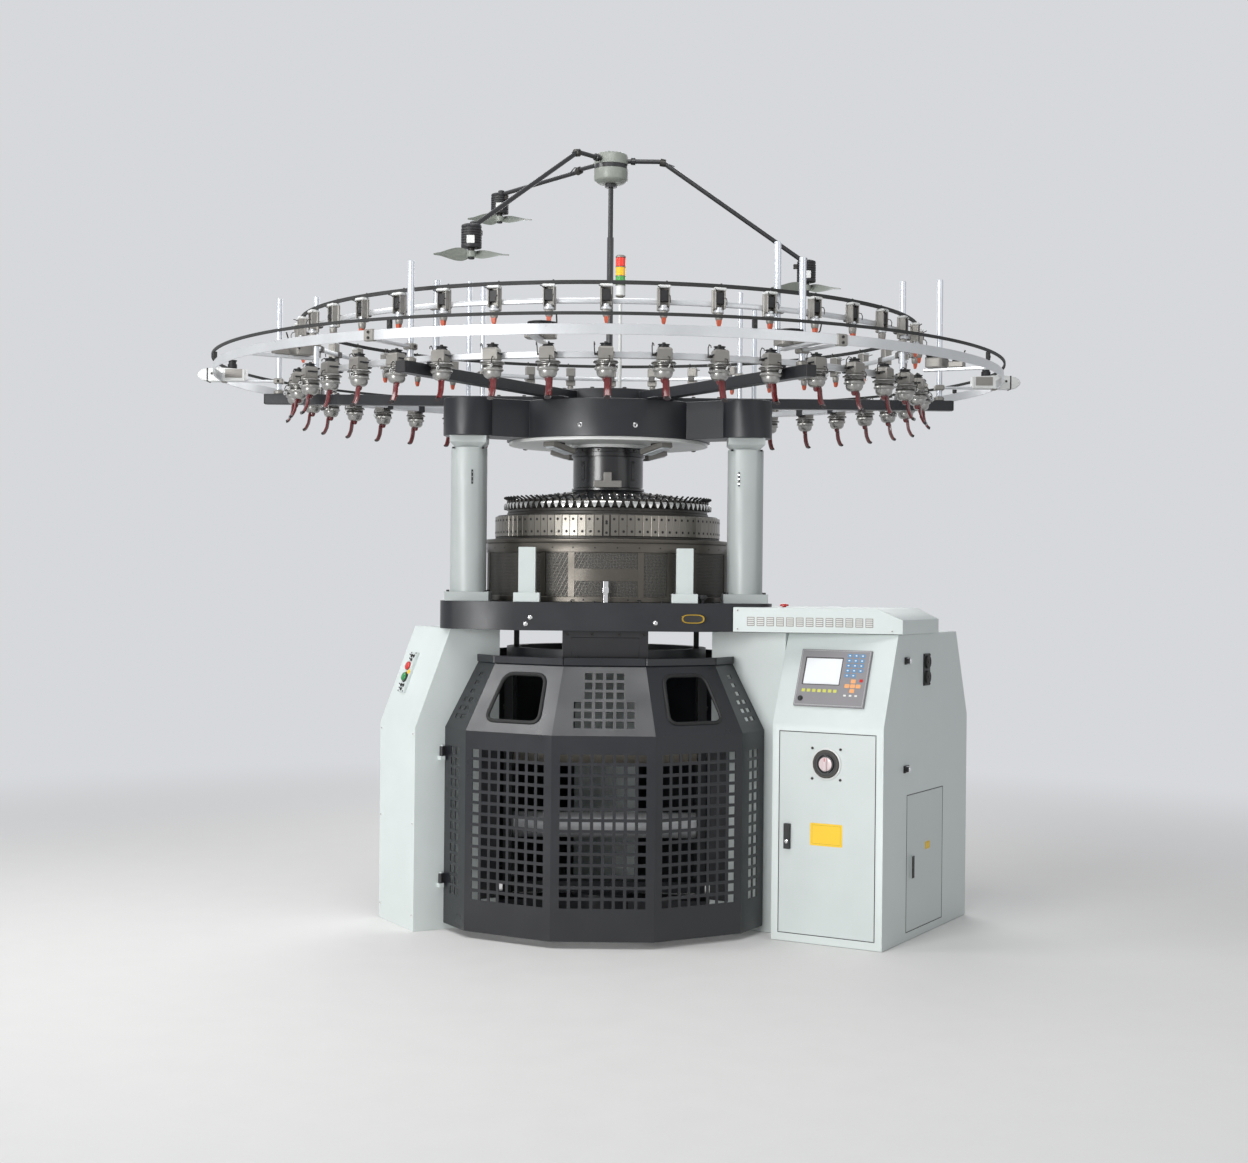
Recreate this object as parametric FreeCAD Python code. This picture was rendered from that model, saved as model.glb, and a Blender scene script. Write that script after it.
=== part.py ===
"""Circular (industrial) knitting machine.

Frame: origin on the machine's upright axis at floor level, +X right, +Y back, +Z up, millimetres.
The three legs stand at 210, 330 and 90 degrees. Places near a leg are given as (u, v): u runs
outward along the leg's arm and v is 90 degrees anticlockwise from it, seen from above.
Shafts, pins and roller barrels are truly round. Other round parts are made of flat sides to stay
light, and so are bores, whose flats clear the shaft by RUN.
"""
import FreeCAD, Part

import math
import os

Vec = FreeCAD.Vector
UP = Vec(0, 0, 1)

# ---- driving dimensions: structure ----
REAR = 90.0
FLOOR_GAP = 30.0
ROUND_SIDES = 30
POST_SIDES = 8
BORE_SIDES = 12
BARREL_SIDES = 16
LEG_INNER = 560.0
LEG_OUTER = 975.0
LEG_KNEE_Z = 908.0
LEG_TOP_OUTER = 805.0
LEG_WIDTH = 400.0
REAR_LEG_WIDTH = 320.0
BASE_ARM_WIDTH = 160.0
BASE_ARM_HEIGHT = 90.0
BASE_HUB_R = 150.0
BASE_HUB_HEIGHT = 110.0
PIVOT_R = 40.0
PIVOT_LENGTH = 60.0
BED_BOTTOM = 1352.0
BED_THICK = 125.0
BED_FLAT_DIST = 615.0
BED_FLAT_HALF = 400.0
BED_LOBE_R = 125.0
BED_BORE_R = 472.0
BED_LEDGE_R = 440.0
BED_LEDGE_THICK = 16.0
COLUMN_DIST = 722.0
COLUMN_R = 82.0
COLUMN_FOOT = 200.0
COLUMN_FOOT_HEIGHT = 41.0
COLUMN_CAP = 165.0
COLUMN_CAP_HEIGHT = 52.0
COLUMN_CAP_CHAMFER = 22.0
TOP_FRAME_BOTTOM = 2220.0
TOP_FRAME_THICK = 170.0
TOP_FRAME_R = 480.0
TOP_LOBE_R = 118.0
TOP_ARM_WIDTH = 190.0
POST_X = 348.0
POST_Y = 550.0
POST_SIZE = 75.0
POST_FOOT = 116.0
POST_FOOT_HEIGHT = 41.0
POST_HEIGHT = 242.0

# ---- driving dimensions: guard ----
GUARD_SIDES = 12
GUARD_R = 860.0
GUARD_TOP_R = 692.0
GUARD_SHEET = 4.0
GUARD_KNEE_Z = 910.0
GUARD_SLOPE_TOP = 1202.0
GUARD_RIM_HEIGHT = 33.0
GUARD_RIM_PROUD = 8.0
GATE_GAP = 5.0
GRILLE_COLUMNS = 4
GRILLE_ROWS = 5
GRILLE_PITCH_X = 96.0
GRILLE_PITCH_Z = 136.0
GRILLE_HOLE = 78.0
GRILLE_MIDDLE_Z = 500.0
EDGE_HOLE_INSET = 112.0
VENT_HOLE = 54.0
VENT_PITCH = 74.0
VENT_ROWS = (3, 3, 2)
SLOT_HEIGHT = 40.0
SLOT_PITCH = 80.0
WINDOW_TOP_WIDTH = 205.0
WINDOW_BOTTOM_WIDTH = 275.0
WINDOW_HEIGHT = 225.0
WINDOW_CORNER_R = 35.0
HINGE_U = 850.0
HINGE_V = 15.0
HINGE_PIN_R = 6.0
HINGE_EYE_R = 11.0
HINGE_EYE_LENGTH = 44.0
HINGE_HEIGHTS = (210.0, 780.0)

# ---- driving dimensions: knitting head ----
SKIRT_R = 565.0
SKIRT_WALL = 25.0
SKIRT_HEIGHT = 264.0
FLANGE_THICK = 19.0
FLANGE_PROUD = 8.0
CAM_R = 530.0
CAM_INNER_R = 446.0
CAM_SEGMENTS = 45
CAM_HEIGHT = 112.0
CYLINDER_R = 432.0
CYLINDER_WALL = 32.0
CYLINDER_TOP = 1886.0
GEAR_R = 466.0
GEAR_INNER_R = 380.0
GEAR_THICK = 30.0
DIAL_R = 424.0
DIAL_GAP = 5.0
DIAL_THICK = 15.0
DIAL_HUB_R = 60.0
DIAL_SHAFT_R = 30.0
DIAL_SHAFT_LENGTH = 130.0
CROWN_INNER_R = 440.0
CROWN_BODY_R = 468.0
CROWN_BODY_HEIGHT = 30.0
CROWN_COUNT = 40
CROWN_NOTCH_R = 456.0
CROWN_TIP_R = 492.0
CROWN_TOP_HEIGHT = 88.0
COVER_RIM_R = 410.0
COVER_RIM_THICK = 18.0
HOUSING_R = 175.0
HOUSING_BOTTOM = 1990.0
HOUSING_HEIGHT = 201.0
HOUSING_SIDES = 24
BRACKET_WIDTH = 130.0
BRACKET_HEIGHT = 70.0
BRACKET_DEPTH = 34.0
BRACKET_WEB = 38.0
NECK_R = 192.0
NECK_THICK = 14.0
CEILING_R = 470.0

# ---- driving dimensions: take-down under the bed ----
TAKEDOWN_HALF = 470.0
TAKEDOWN_PLATE = 40.0
TAKEDOWN_PLATE_WIDTH = 300.0
TAKEDOWN_RING_WALL = 58.0
TAKEDOWN_RING_BOTTOM = 1180.0
TAKEDOWN_RING_TOP = 1262.0
TAKEDOWN_FOOT_WIDTH = 120.0
TAKEDOWN_FOOT_THICK = 50.0
HANGER_X = 424.0
HANGER_WIDTH = 24.0
HANGER_DEPTH = 40.0
PINION_R = 30.0
DRIVE_SHAFT_R = 14.0
DRIVE_SHAFT_BOTTOM = 1225.0
DRIVE_BOX_HALF = 190.0
DRIVE_BOX_DEPTH = 80.0
DRIVE_BOX_BOTTOM = 1205.0
ROLLER_R = 45.0
ROLLER_NIP = 6.0
ROLLER_Z = 760.0
ROLLER_JOURNAL_R = 15.0
ROLLER_END_GAP = 0.5
WINDUP_R = 60.0
WINDUP_Z = 420.0

# ---- driving dimensions: creel ----
HUB_R = 330.0
HUB_HEIGHT = 60.0
ARM_COUNT = 6
ARM_OVERHANG = 60.0
ARM_WIDTH = 50.0
ARM_HEIGHT = 48.0
RING_R = 1419.0
RING_SIDES = 40
RING_BAR = 26.0
LOWER_RING_Z = 2453.0
UPPER_RING_Z = 2669.0
UPPER_BAR = 20.0
FEEDER_BODY = 60.0
FEEDER_BOTTOM = 2398.0
FEEDER_TOP = 2507.0
FEEDER_DISC_R = 50.0
FEEDER_DISC_THICK = 28.0
LEVER_THICK = 12.0
LEVER_DROP = 84.0
UNIT_WIDTH = 50.0
UNIT_DEPTH = 40.0
UNIT_BOTTOM = 2606.0
UNIT_TOP = 2742.0
UNIT_FINGER = 40.0
BELT_WIDTH = 8.0
BELT_HEIGHT = 16.0
INNER_ROD_GAP = 34.0
OUTER_ROD_GAP = 141.0
ROD_FLAT = 14.0
ROD_TOPS = ((3000.0, 3010.0), (3130.0, 3080.0), (3150.0, 3200.0),
            (2900.0, 2890.0), (2790.0, 2840.0), (2960.0, 2870.0))
OUTER_RING_R = 1830.0
OUTER_BAR = 8.0
OUTER_BAR_HEIGHT = 40.0
OUTER_RING_Z = 2493.0
OUTER_BRACKET_WIDTH = 30.0
NOSE_INNER = 120.0
NOSE_OUTER = 110.0
NOSE_HALF = 34.0
BELT_RISE = 32.0
STAY_WIDTH = 14.0
STAY_COUNT = 8
STAY_START = 18.0
TENSIONER_ANGLES = (216.0, 261.0, 297.0, 333.0)
TENSIONER_GAP = 181.0

# ---- driving dimensions: signal lamp and lint fans ----
SIGNAL_X, SIGNAL_Y = 50.0, -120.0
SIGNAL_POLE_R = 9.0
SIGNAL_LAMP_R = 24.0
SIGNAL_LAMP_BOTTOM = 2900.0
SIGNAL_LAMP_HEIGHT = 190.0
MAST_R = 15.5
MAST_STEP_Z = 3194.0
MAST_TOP_R = 12.0
MAST_COLLAR_R = 28.0
FAN_HUB_R = 80.0
FAN_HUB_BOTTOM = 3447.0
FAN_HUB_HEIGHT = 140.0
FAN_HUB_SIDES = 36
FAN_BORE_DEPTH = 80.0
FAN_ARM_R = 11.0
FAN_ELBOW_R = 246.0
FAN_ARM_Z = 3554.0
FAN_PLACES = ((0.0, 927.0, 2967.0), (230.0, 927.0, 2985.0), (130.0, 890.0, 3412.0))
FAN_NAMES = ("right", "front", "rear")
MOTOR_R = 45.0
MOTOR_HEIGHT = 105.0
PROPELLER_R = 165.0
PROPELLER_HUB_R = 22.0
PROPELLER_THICK = 12.0
BLADE_WIDEST = 76.0
BLADE_HALF = 38.0
BLADE_THICK = 4.0
BLADE_PITCH = 24.0
FAN_SHAFT_R = 6.0

# ---- driving dimensions: control cabinet and buttons ----
CABINET_INNER = 930.0
CABINET_OUTER = 1455.0
CABINET_FRONT = -130.0
CABINET_BACK = 920.0
CABINET_KNEE_Z = 958.0
CABINET_SLOPE = 160.0
CABINET_WALL = 30.0
DOOR_INNER = 968.0
DOOR_OUTER = 1417.0
DOOR_BOTTOM = 40.0
DOOR_TOP = 920.0
DOOR_THICK = 20.0
DOOR_GAP = 0.6
SIDE_DOOR_FRONT = 150.0
SIDE_DOOR_BACK = 595.0
SIDE_DOOR_TOP = 640.0
SWITCH_U = 1190.0
SWITCH_Z = 788.0
SWITCH_RING_R = 62.0
SWITCH_RING_THICK = 8.0
SWITCH_KNOB_R = 38.0
SWITCH_KNOB_LENGTH = 24.0
HANDLE_U = 1010.0
HANDLE_Z = 463.0
HANDLE_WIDTH = 26.0
HANDLE_HEIGHT = 110.0
HANDLE_THICK = 18.0
SIDE_HANDLE_V = 200.0
SIDE_HANDLE_Z = 322.0
PANEL_INNER = 1020.0
PANEL_OUTER = 1350.0
PANEL_BOTTOM = 79.0
PANEL_TOP = 342.0
PANEL_THICK = 14.0
SCREEN_WIDTH = 172.0
SCREEN_HEIGHT = 122.0
SCREEN_SIDE = 28.0
SCREEN_BELOW_TOP = 40.0
SCREEN_DEPTH = 4.0
LATCH_V = 130.0
LATCH_HEIGHTS = (760.0, 1235.0)
VENT_V = 370.0
VENT_Z = 1188.0
VENT_R = 30.0
COVER_CORNERS = ((565.0, -541.0), (1290.0, -716.0), (1512.0, -330.0), (1010.0, -40.0), (790.0, -150.0))
COVER_HEIGHT = 110.0
COVER_CHAMFER_RUN = 105.0
COVER_CHAMFER_DROP = 48.0
COVER_BED_GAP = 0.5
COVER_BUTTON_X, COVER_BUTTON_Y = 800.0, -440.0
STRIP_V = -270.0
STRIP_WIDTH = 62.0
STRIP_BOTTOM = 150.0
STRIP_TOP = 345.0
STRIP_THICK = 14.0
STOP_S, START_S = 275.0, 222.0
BUTTON_CAP_R = 20.0
BUTTON_CAP_THICK = 12.0
BUTTON_STEM_R = 8.0
BUTTON_STEM_DEPTH = 7.0
BUTTON_RISE = 5.0

# ---- named clearances ----
RUN = 0.06
REST_GAP = 0.3
NECK_GAP = 5.0
POCKET_GAP = 4.0
TURNING_GAP = 8.0

# ---- places that follow from the sizes above ----
LEFT = REAR + 120
RIGHT = LEFT + 120
BED_TOP = BED_BOTTOM + BED_THICK
TOP_FRAME_TOP = TOP_FRAME_BOTTOM + TOP_FRAME_THICK
SKIRT_TOP = BED_TOP + SKIRT_HEIGHT
CAM_BOTTOM = SKIRT_TOP + FLANGE_THICK
CAM_TOP = CAM_BOTTOM + CAM_HEIGHT
GEAR_BOTTOM = BED_BOTTOM + BED_LEDGE_THICK + REST_GAP
DRIVE_SHAFT_Y = -(GEAR_R + PINION_R + REST_GAP)
DRIVE_BOX_BACK = -(TAKEDOWN_HALF + TURNING_GAP)
DIAL_BOTTOM = CYLINDER_TOP + DIAL_GAP
DIAL_TOP = DIAL_BOTTOM + DIAL_THICK
HOUSING_TOP = HOUSING_BOTTOM + HOUSING_HEIGHT
HUB_TOP = TOP_FRAME_TOP + HUB_HEIGHT
ARM_TOP = TOP_FRAME_TOP + ARM_HEIGHT
ARM_STEP = 360.0 / ARM_COUNT
POST_INNER_R = RING_R - INNER_ROD_GAP
POST_OUTER_R = RING_R + OUTER_ROD_GAP
ARM_REACH = POST_OUTER_R + ARM_OVERHANG
TENSIONER_R = RING_R + TENSIONER_GAP
LOWER_BELT_Z = OUTER_RING_Z + OUTER_BAR_HEIGHT + BELT_RISE
FEEDER_STEP = 360.0 / RING_SIDES
COVER_TOP = BED_BOTTOM + COVER_HEIGHT
APOTHEM = math.cos(math.pi / GUARD_SIDES)


# ---- helpers ----
def local(angle, u, v):
    """World X and Y of a place given along an arm at this angle."""
    a = math.radians(angle)
    return (u * math.cos(a) - v * math.sin(a), u * math.sin(a) + v * math.cos(a))


def prism(points, z0, z1):
    """Upright prism over an outline of (x, y) points."""
    wire = Part.makePolygon([Vec(x, y, z0) for x, y in points] + [Vec(points[0][0], points[0][1], z0)])
    return Part.Face(wire).extrude(UP * (z1 - z0))


def arm_prism(angle, u0, u1, v0, v1, z0, z1):
    """Upright block between two distances and two sideways places on an arm."""
    corners = ((u0, v0), (u1, v0), (u1, v1), (u0, v1))
    return prism([local(angle, u, v) for u, v in corners], z0, z1)


def profile_along_v(angle, outline, v0, v1):
    """Solid with a (u, z) outline, drawn out sideways from v0 to v1."""
    points = [Vec(*local(angle, u, v0), z) for u, z in outline]
    reach = Vec(*local(angle, 0, v1 - v0), 0)
    return Part.Face(Part.makePolygon(points + points[:1])).extrude(reach)


def profile_along_u(angle, outline, u0, u1):
    """Solid with a (v, z) outline, drawn out along the arm from u0 to u1."""
    points = [Vec(*local(angle, u0, v), z) for v, z in outline]
    reach = Vec(*local(angle, u1 - u0, 0), 0)
    return Part.Face(Part.makePolygon(points + points[:1])).extrude(reach)


def regular(radius, sides, turn=0.0, centre=(0.0, 0.0)):
    """Corners of a regular outline; turn is the angle of the first corner."""
    step = 2 * math.pi / sides
    start = math.radians(turn)
    return [(centre[0] + radius * math.cos(start + i * step),
             centre[1] + radius * math.sin(start + i * step)) for i in range(sides)]


def flat_ring(r_out, r_in, z0, z1, sides=ROUND_SIDES, turn=0.0):
    """Ring with flat sides and square section."""
    outer = prism(regular(r_out, sides, turn), z0, z1)
    return outer.cut(prism(regular(r_in, sides, turn), z0 - 1, z1 + 1))


def frustum(r0, r1, z0, z1, sides, turn):
    """Solid with flat sides between two regular outlines at different heights."""
    low = [Vec(x, y, z0) for x, y in regular(r0, sides, turn)]
    high = [Vec(x, y, z1) for x, y in regular(r1, sides, turn)]
    loops = [low[::-1], high]
    for i in range(sides):
        j = (i + 1) % sides
        loops.append([low[i], low[j], high[j], high[i]])
    return Part.Solid(Part.Shell([Part.Face(Part.makePolygon(loop + loop[:1])) for loop in loops]))


def shaft(radius, z0, z1, centre=(0.0, 0.0)):
    """Upright round shaft or pin that turns in a bore, or that a bore turns on."""
    return Part.makeCylinder(radius, z1 - z0, Vec(centre[0], centre[1], z0), UP)


def bore_cutter(radius, z0, z1, centre=(0.0, 0.0)):
    """Cutter for a bore with flat sides that clear a shaft of this radius by RUN."""
    across = (radius + RUN) / math.cos(math.pi / BORE_SIDES)
    return prism(regular(across, BORE_SIDES, 0, centre), z0, z1)


def post(radius, z0, z1, centre=(0.0, 0.0)):
    """Upright post with flat sides."""
    return prism(regular(radius, POST_SIDES, 0, centre), z0, z1)


def post_hole(radius, z0, z1, centre=(0.0, 0.0)):
    """Cutter for a hole in which such a post slides, clear of each flat by RUN."""
    return post(radius + RUN / math.cos(math.pi / POST_SIDES), z0, z1, centre)


def along(shape, start, direction):
    """Shape made upright on the origin, laid along a direction from a start point."""
    return placed(shape, FreeCAD.Placement(Vec(*start), FreeCAD.Rotation(UP, Vec(*direction))))


def fuse(shapes):
    """One solid from overlapping or touching pieces."""
    return shapes[0].multiFuse(shapes[1:]).removeSplitter()


def turned(shape, angle):
    """Copy turned about the machine's axis."""
    copy = shape.copy()
    copy.rotate(Vec(0, 0, 0), UP, angle)
    return copy


def bar_between(start, end, radius, sides=6):
    """Straight bar with flat sides between two points."""
    start, end = Vec(*start), Vec(*end)
    run = end - start
    bar = prism(regular(radius, sides), 0, run.Length)
    bar.Placement = FreeCAD.Placement(start, FreeCAD.Rotation(UP, run))
    return bar


def save(name, shape):
    """Write one sub-part to its own file."""
    if len(shape.Solids) == 1:
        shape = shape.Solids[0]
    if not shape.isValid():
        raise ValueError(name + " is not a valid shape")
    shape.exportStep("parts/" + name + ".step")
    print(name, len(shape.Solids), "solids", round(shape.Volume / 1e6, 2), "litres")


def slope_frame(angle, knee, top, sideways):
    """Placement on a sloping casing face: X across, Y up the slope, Z out of it."""
    foot = Vec(*local(angle, *knee[:2]), knee[2])
    head = Vec(*local(angle, *top[:2]), top[2])
    y_dir = (head - foot).normalize()
    x_dir = Vec(*local(angle, *sideways), 0)
    z_dir = x_dir.cross(y_dir)
    matrix = FreeCAD.Matrix(x_dir.x, y_dir.x, z_dir.x, foot.x,
                            x_dir.y, y_dir.y, z_dir.y, foot.y,
                            x_dir.z, y_dir.z, z_dir.z, foot.z)
    return FreeCAD.Placement(matrix)


def placed(shape, placement):
    """Copy moved by a placement."""
    copy = shape.copy()
    copy.Placement = placement.multiply(copy.Placement)
    return copy


# ---- structure ----
def base_frame():
    """Three-armed floor frame whose hub carries the take-down's pivot."""
    half = BASE_ARM_WIDTH / 2
    arms = []
    for angle, end in ((LEFT, -LEG_WIDTH / 2), (RIGHT, LEG_WIDTH / 2), (REAR, 0.0)):
        corners = ((0, -half), (LEG_INNER, end - half), (LEG_INNER, end + half), (0, half))
        arms.append(prism([local(angle, u, v) for u, v in corners], 0, BASE_ARM_HEIGHT))
    hub = prism(regular(BASE_HUB_R, BARREL_SIDES), 0, BASE_HUB_HEIGHT)
    bore = bore_cutter(PIVOT_R, BASE_HUB_HEIGHT - PIVOT_LENGTH - 5, BASE_HUB_HEIGHT + 1)
    return fuse(arms + [hub]).cut(bore)


def leg_profile():
    """Side outline of a free-standing leg casing, as (u, z)."""
    return ((LEG_INNER, 0), (LEG_OUTER, 0), (LEG_OUTER, LEG_KNEE_Z), (LEG_TOP_OUTER, BED_BOTTOM),
            (LEG_INNER, BED_BOTTOM))


def hinge_ear(z):
    """Ear on the left leg with the upright pin of one gate hinge."""
    ear = arm_prism(LEFT, HINGE_U - HINGE_EYE_R, HINGE_U + HINGE_EYE_R, 0, HINGE_V + HINGE_EYE_R, z - 18, z)
    pin = shaft(HINGE_PIN_R, z - 9, z + HINGE_EYE_LENGTH + 6, local(LEFT, HINGE_U, HINGE_V))
    return [ear, pin]


def leg_left():
    casing = profile_along_v(LEFT, leg_profile(), -LEG_WIDTH, 0)
    return fuse([casing] + [piece for z in HINGE_HEIGHTS for piece in hinge_ear(z)])


def leg_right():
    return arm_prism(RIGHT, LEG_INNER, CABINET_INNER, 0, LEG_WIDTH, 0, BED_BOTTOM)


def leg_rear():
    return profile_along_v(REAR, leg_profile(), -REAR_LEG_WIDTH / 2, REAR_LEG_WIDTH / 2)


def bed_outline(grow, z0, z1):
    """Bed plan: three flat fronts joined by tangents to a round lobe at each column."""
    radius = BED_LOBE_R + grow
    edges = []
    for angle in (LEFT, RIGHT, REAR):
        centre = Vec(*local(angle, COLUMN_DIST, 0), z0)
        before = Vec(*local(angle - 60, BED_FLAT_DIST + grow, BED_FLAT_HALF), z0)
        after = Vec(*local(angle + 60, BED_FLAT_DIST + grow, -BED_FLAT_HALF), z0)
        ends = []
        for corner, side in ((before, 1), (after, -1)):
            away = corner - centre
            swing = math.degrees(math.acos(radius / away.Length)) * side
            spoke = FreeCAD.Rotation(UP, swing).multVec(away.normalize() * radius)
            ends.append(centre + spoke)
        crest = Vec(*local(angle, COLUMN_DIST + radius, 0), z0)
        edges.append(Part.makeLine(before, ends[0]))
        edges.append(Part.Arc(ends[0], crest, ends[1]).toShape())
        edges.append(Part.makeLine(ends[1], after))
        follow = Vec(*local(angle + 60, BED_FLAT_DIST + grow, BED_FLAT_HALF), z0)
        edges.append(Part.makeLine(after, follow))
    return Part.Face(Part.Wire(edges)).extrude(UP * (z1 - z0))


def bed_plate():
    plate = bed_outline(0, BED_BOTTOM, BED_TOP)
    bore = prism(regular(BED_BORE_R, ROUND_SIDES), BED_BOTTOM + BED_LEDGE_THICK, BED_TOP + 1)
    throat = prism(regular(BED_LEDGE_R, ROUND_SIDES), BED_BOTTOM - 1, BED_TOP + 1)
    centre = (0.0, DRIVE_SHAFT_Y)
    pocket = prism(regular(PINION_R + POCKET_GAP, BARREL_SIDES, 0, centre),
                   BED_BOTTOM + BED_LEDGE_THICK, BED_TOP + 1)
    shaft_bore = bore_cutter(DRIVE_SHAFT_R, BED_BOTTOM - 1, BED_TOP, centre)
    return plate.cut(bore).cut(throat).cut(pocket).cut(shaft_bore)


def column(angle):
    """One main column: square foot, round shaft, chamfered square cap."""
    x, y = local(angle, COLUMN_DIST, 0)
    foot = Part.makeBox(COLUMN_FOOT, COLUMN_FOOT, COLUMN_FOOT_HEIGHT,
                        Vec(x - COLUMN_FOOT / 2, y - COLUMN_FOOT / 2, BED_TOP))
    cap_bottom = TOP_FRAME_BOTTOM - COLUMN_CAP_HEIGHT
    barrel = prism(regular(COLUMN_R, BARREL_SIDES, 9, (x, y)), BED_TOP + COLUMN_FOOT_HEIGHT, cap_bottom)
    cap = Part.makeBox(COLUMN_CAP, COLUMN_CAP, COLUMN_CAP_HEIGHT,
                       Vec(x - COLUMN_CAP / 2, y - COLUMN_CAP / 2, cap_bottom))
    lower = [e for e in cap.Edges if e.BoundBox.ZMax < cap_bottom + 1]
    cap = cap.makeChamfer(COLUMN_CAP_CHAMFER, lower)
    return fuse([foot, barrel, cap])


def bed_posts():
    """Six short posts round the knitting head, two before each flat front of the bed."""
    foot = Part.makeBox(POST_FOOT, POST_FOOT, POST_FOOT_HEIGHT,
                        Vec(POST_X - POST_FOOT / 2, -POST_Y - POST_FOOT / 2, BED_TOP))
    post = Part.makeBox(POST_SIZE, POST_SIZE, POST_HEIGHT,
                        Vec(POST_X - POST_SIZE / 2, -POST_Y - POST_SIZE / 2, BED_TOP))
    right = fuse([foot, post])
    left = right.mirror(Vec(0, 0, 0), Vec(1, 0, 0))
    return Part.makeCompound([turned(p, 120 * i) for i in range(3) for p in (left, right)])


def top_frame():
    """Round head plate with an arm and a lobe over each column."""
    pieces = [prism(regular(TOP_FRAME_R, ROUND_SIDES), TOP_FRAME_BOTTOM, TOP_FRAME_TOP)]
    for angle in (LEFT, RIGHT, REAR):
        pieces.append(arm_prism(angle, 0, COLUMN_DIST, -TOP_ARM_WIDTH / 2, TOP_ARM_WIDTH / 2,
                                TOP_FRAME_BOTTOM, TOP_FRAME_TOP))
        centre = local(angle, COLUMN_DIST, 0)
        pieces.append(prism(regular(TOP_LOBE_R, BARREL_SIDES, angle, centre), TOP_FRAME_BOTTOM, TOP_FRAME_TOP))
    return fuse(pieces)


# ---- guard ----
def guard_shell():
    """Twelve-sided sheet drum: upright wall, sloping shoulder and a rim lip."""
    turn = 180.0 / GUARD_SIDES
    wall = GUARD_SHEET / APOTHEM
    lower = prism(regular(GUARD_R, GUARD_SIDES, turn), FLOOR_GAP, GUARD_KNEE_Z)
    lower = lower.cut(prism(regular(GUARD_R - wall, GUARD_SIDES, turn), FLOOR_GAP - 1, GUARD_KNEE_Z + 1))
    rise = GUARD_SLOPE_TOP - GUARD_KNEE_Z
    shoulder = frustum(GUARD_R, GUARD_TOP_R, GUARD_KNEE_Z, GUARD_SLOPE_TOP, GUARD_SIDES, turn)
    lean = (GUARD_R - GUARD_TOP_R) / rise
    hollow = frustum(GUARD_R - wall + lean, GUARD_TOP_R - wall - lean, GUARD_KNEE_Z - 1,
                     GUARD_SLOPE_TOP + 1, GUARD_SIDES, turn)
    rim_out = GUARD_TOP_R + GUARD_RIM_PROUD
    rim_top = GUARD_SLOPE_TOP + GUARD_RIM_HEIGHT
    rim = prism(regular(rim_out, GUARD_SIDES, turn), GUARD_SLOPE_TOP, rim_top)
    rim = rim.cut(prism(regular(GUARD_TOP_R - wall, GUARD_SIDES, turn), GUARD_SLOPE_TOP - 1, rim_top + 1))
    return fuse([lower, shoulder.cut(hollow), rim])


def facet_placement(angle, sloping):
    """Placement on a guard facet: X across, Y up the sheet, Z outward."""
    if sloping:
        top = (GUARD_TOP_R * APOTHEM, 0, GUARD_SLOPE_TOP)
        return slope_frame(angle, (GUARD_R * APOTHEM, 0, GUARD_KNEE_Z), top, (0, 1))
    top = (GUARD_R * APOTHEM, 0, GUARD_KNEE_Z)
    return slope_frame(angle, (GUARD_R * APOTHEM, 0, 0), top, (0, 1))


def hole(x, y, width, height):
    """Cutter for one square hole, centred at (x, y) on a facet."""
    depth = 6 * GUARD_SHEET
    return Part.makeBox(width, height, depth, Vec(x - width / 2, y - height / 2, -depth / 2))


def grille_holes(columns_x):
    """Cutters for the rows of holes at the given places across a lower facet."""
    bottom = GRILLE_MIDDLE_Z - GRILLE_PITCH_Z * (GRILLE_ROWS - 1) / 2
    return [hole(x, bottom + row * GRILLE_PITCH_Z, GRILLE_HOLE, GRILLE_HOLE)
            for x in columns_x for row in range(GRILLE_ROWS)]


def window():
    """Cutter for a round-cornered window that narrows upward with its facet."""
    middle = 0.5 * (GUARD_SLOPE_TOP - GUARD_KNEE_Z)
    low, high = middle - WINDOW_HEIGHT / 2 + 8, middle + WINDOW_HEIGHT / 2 + 8
    depth = 6 * GUARD_SHEET
    corners = ((-WINDOW_BOTTOM_WIDTH / 2, low), (WINDOW_BOTTOM_WIDTH / 2, low),
               (WINDOW_TOP_WIDTH / 2, high), (-WINDOW_TOP_WIDTH / 2, high))
    block = prism(corners, -depth / 2, depth / 2)
    upright = [e for e in block.Edges if abs(e.BoundBox.ZLength - depth) < 1]
    return block.makeFillet(WINDOW_CORNER_R, upright)


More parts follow.
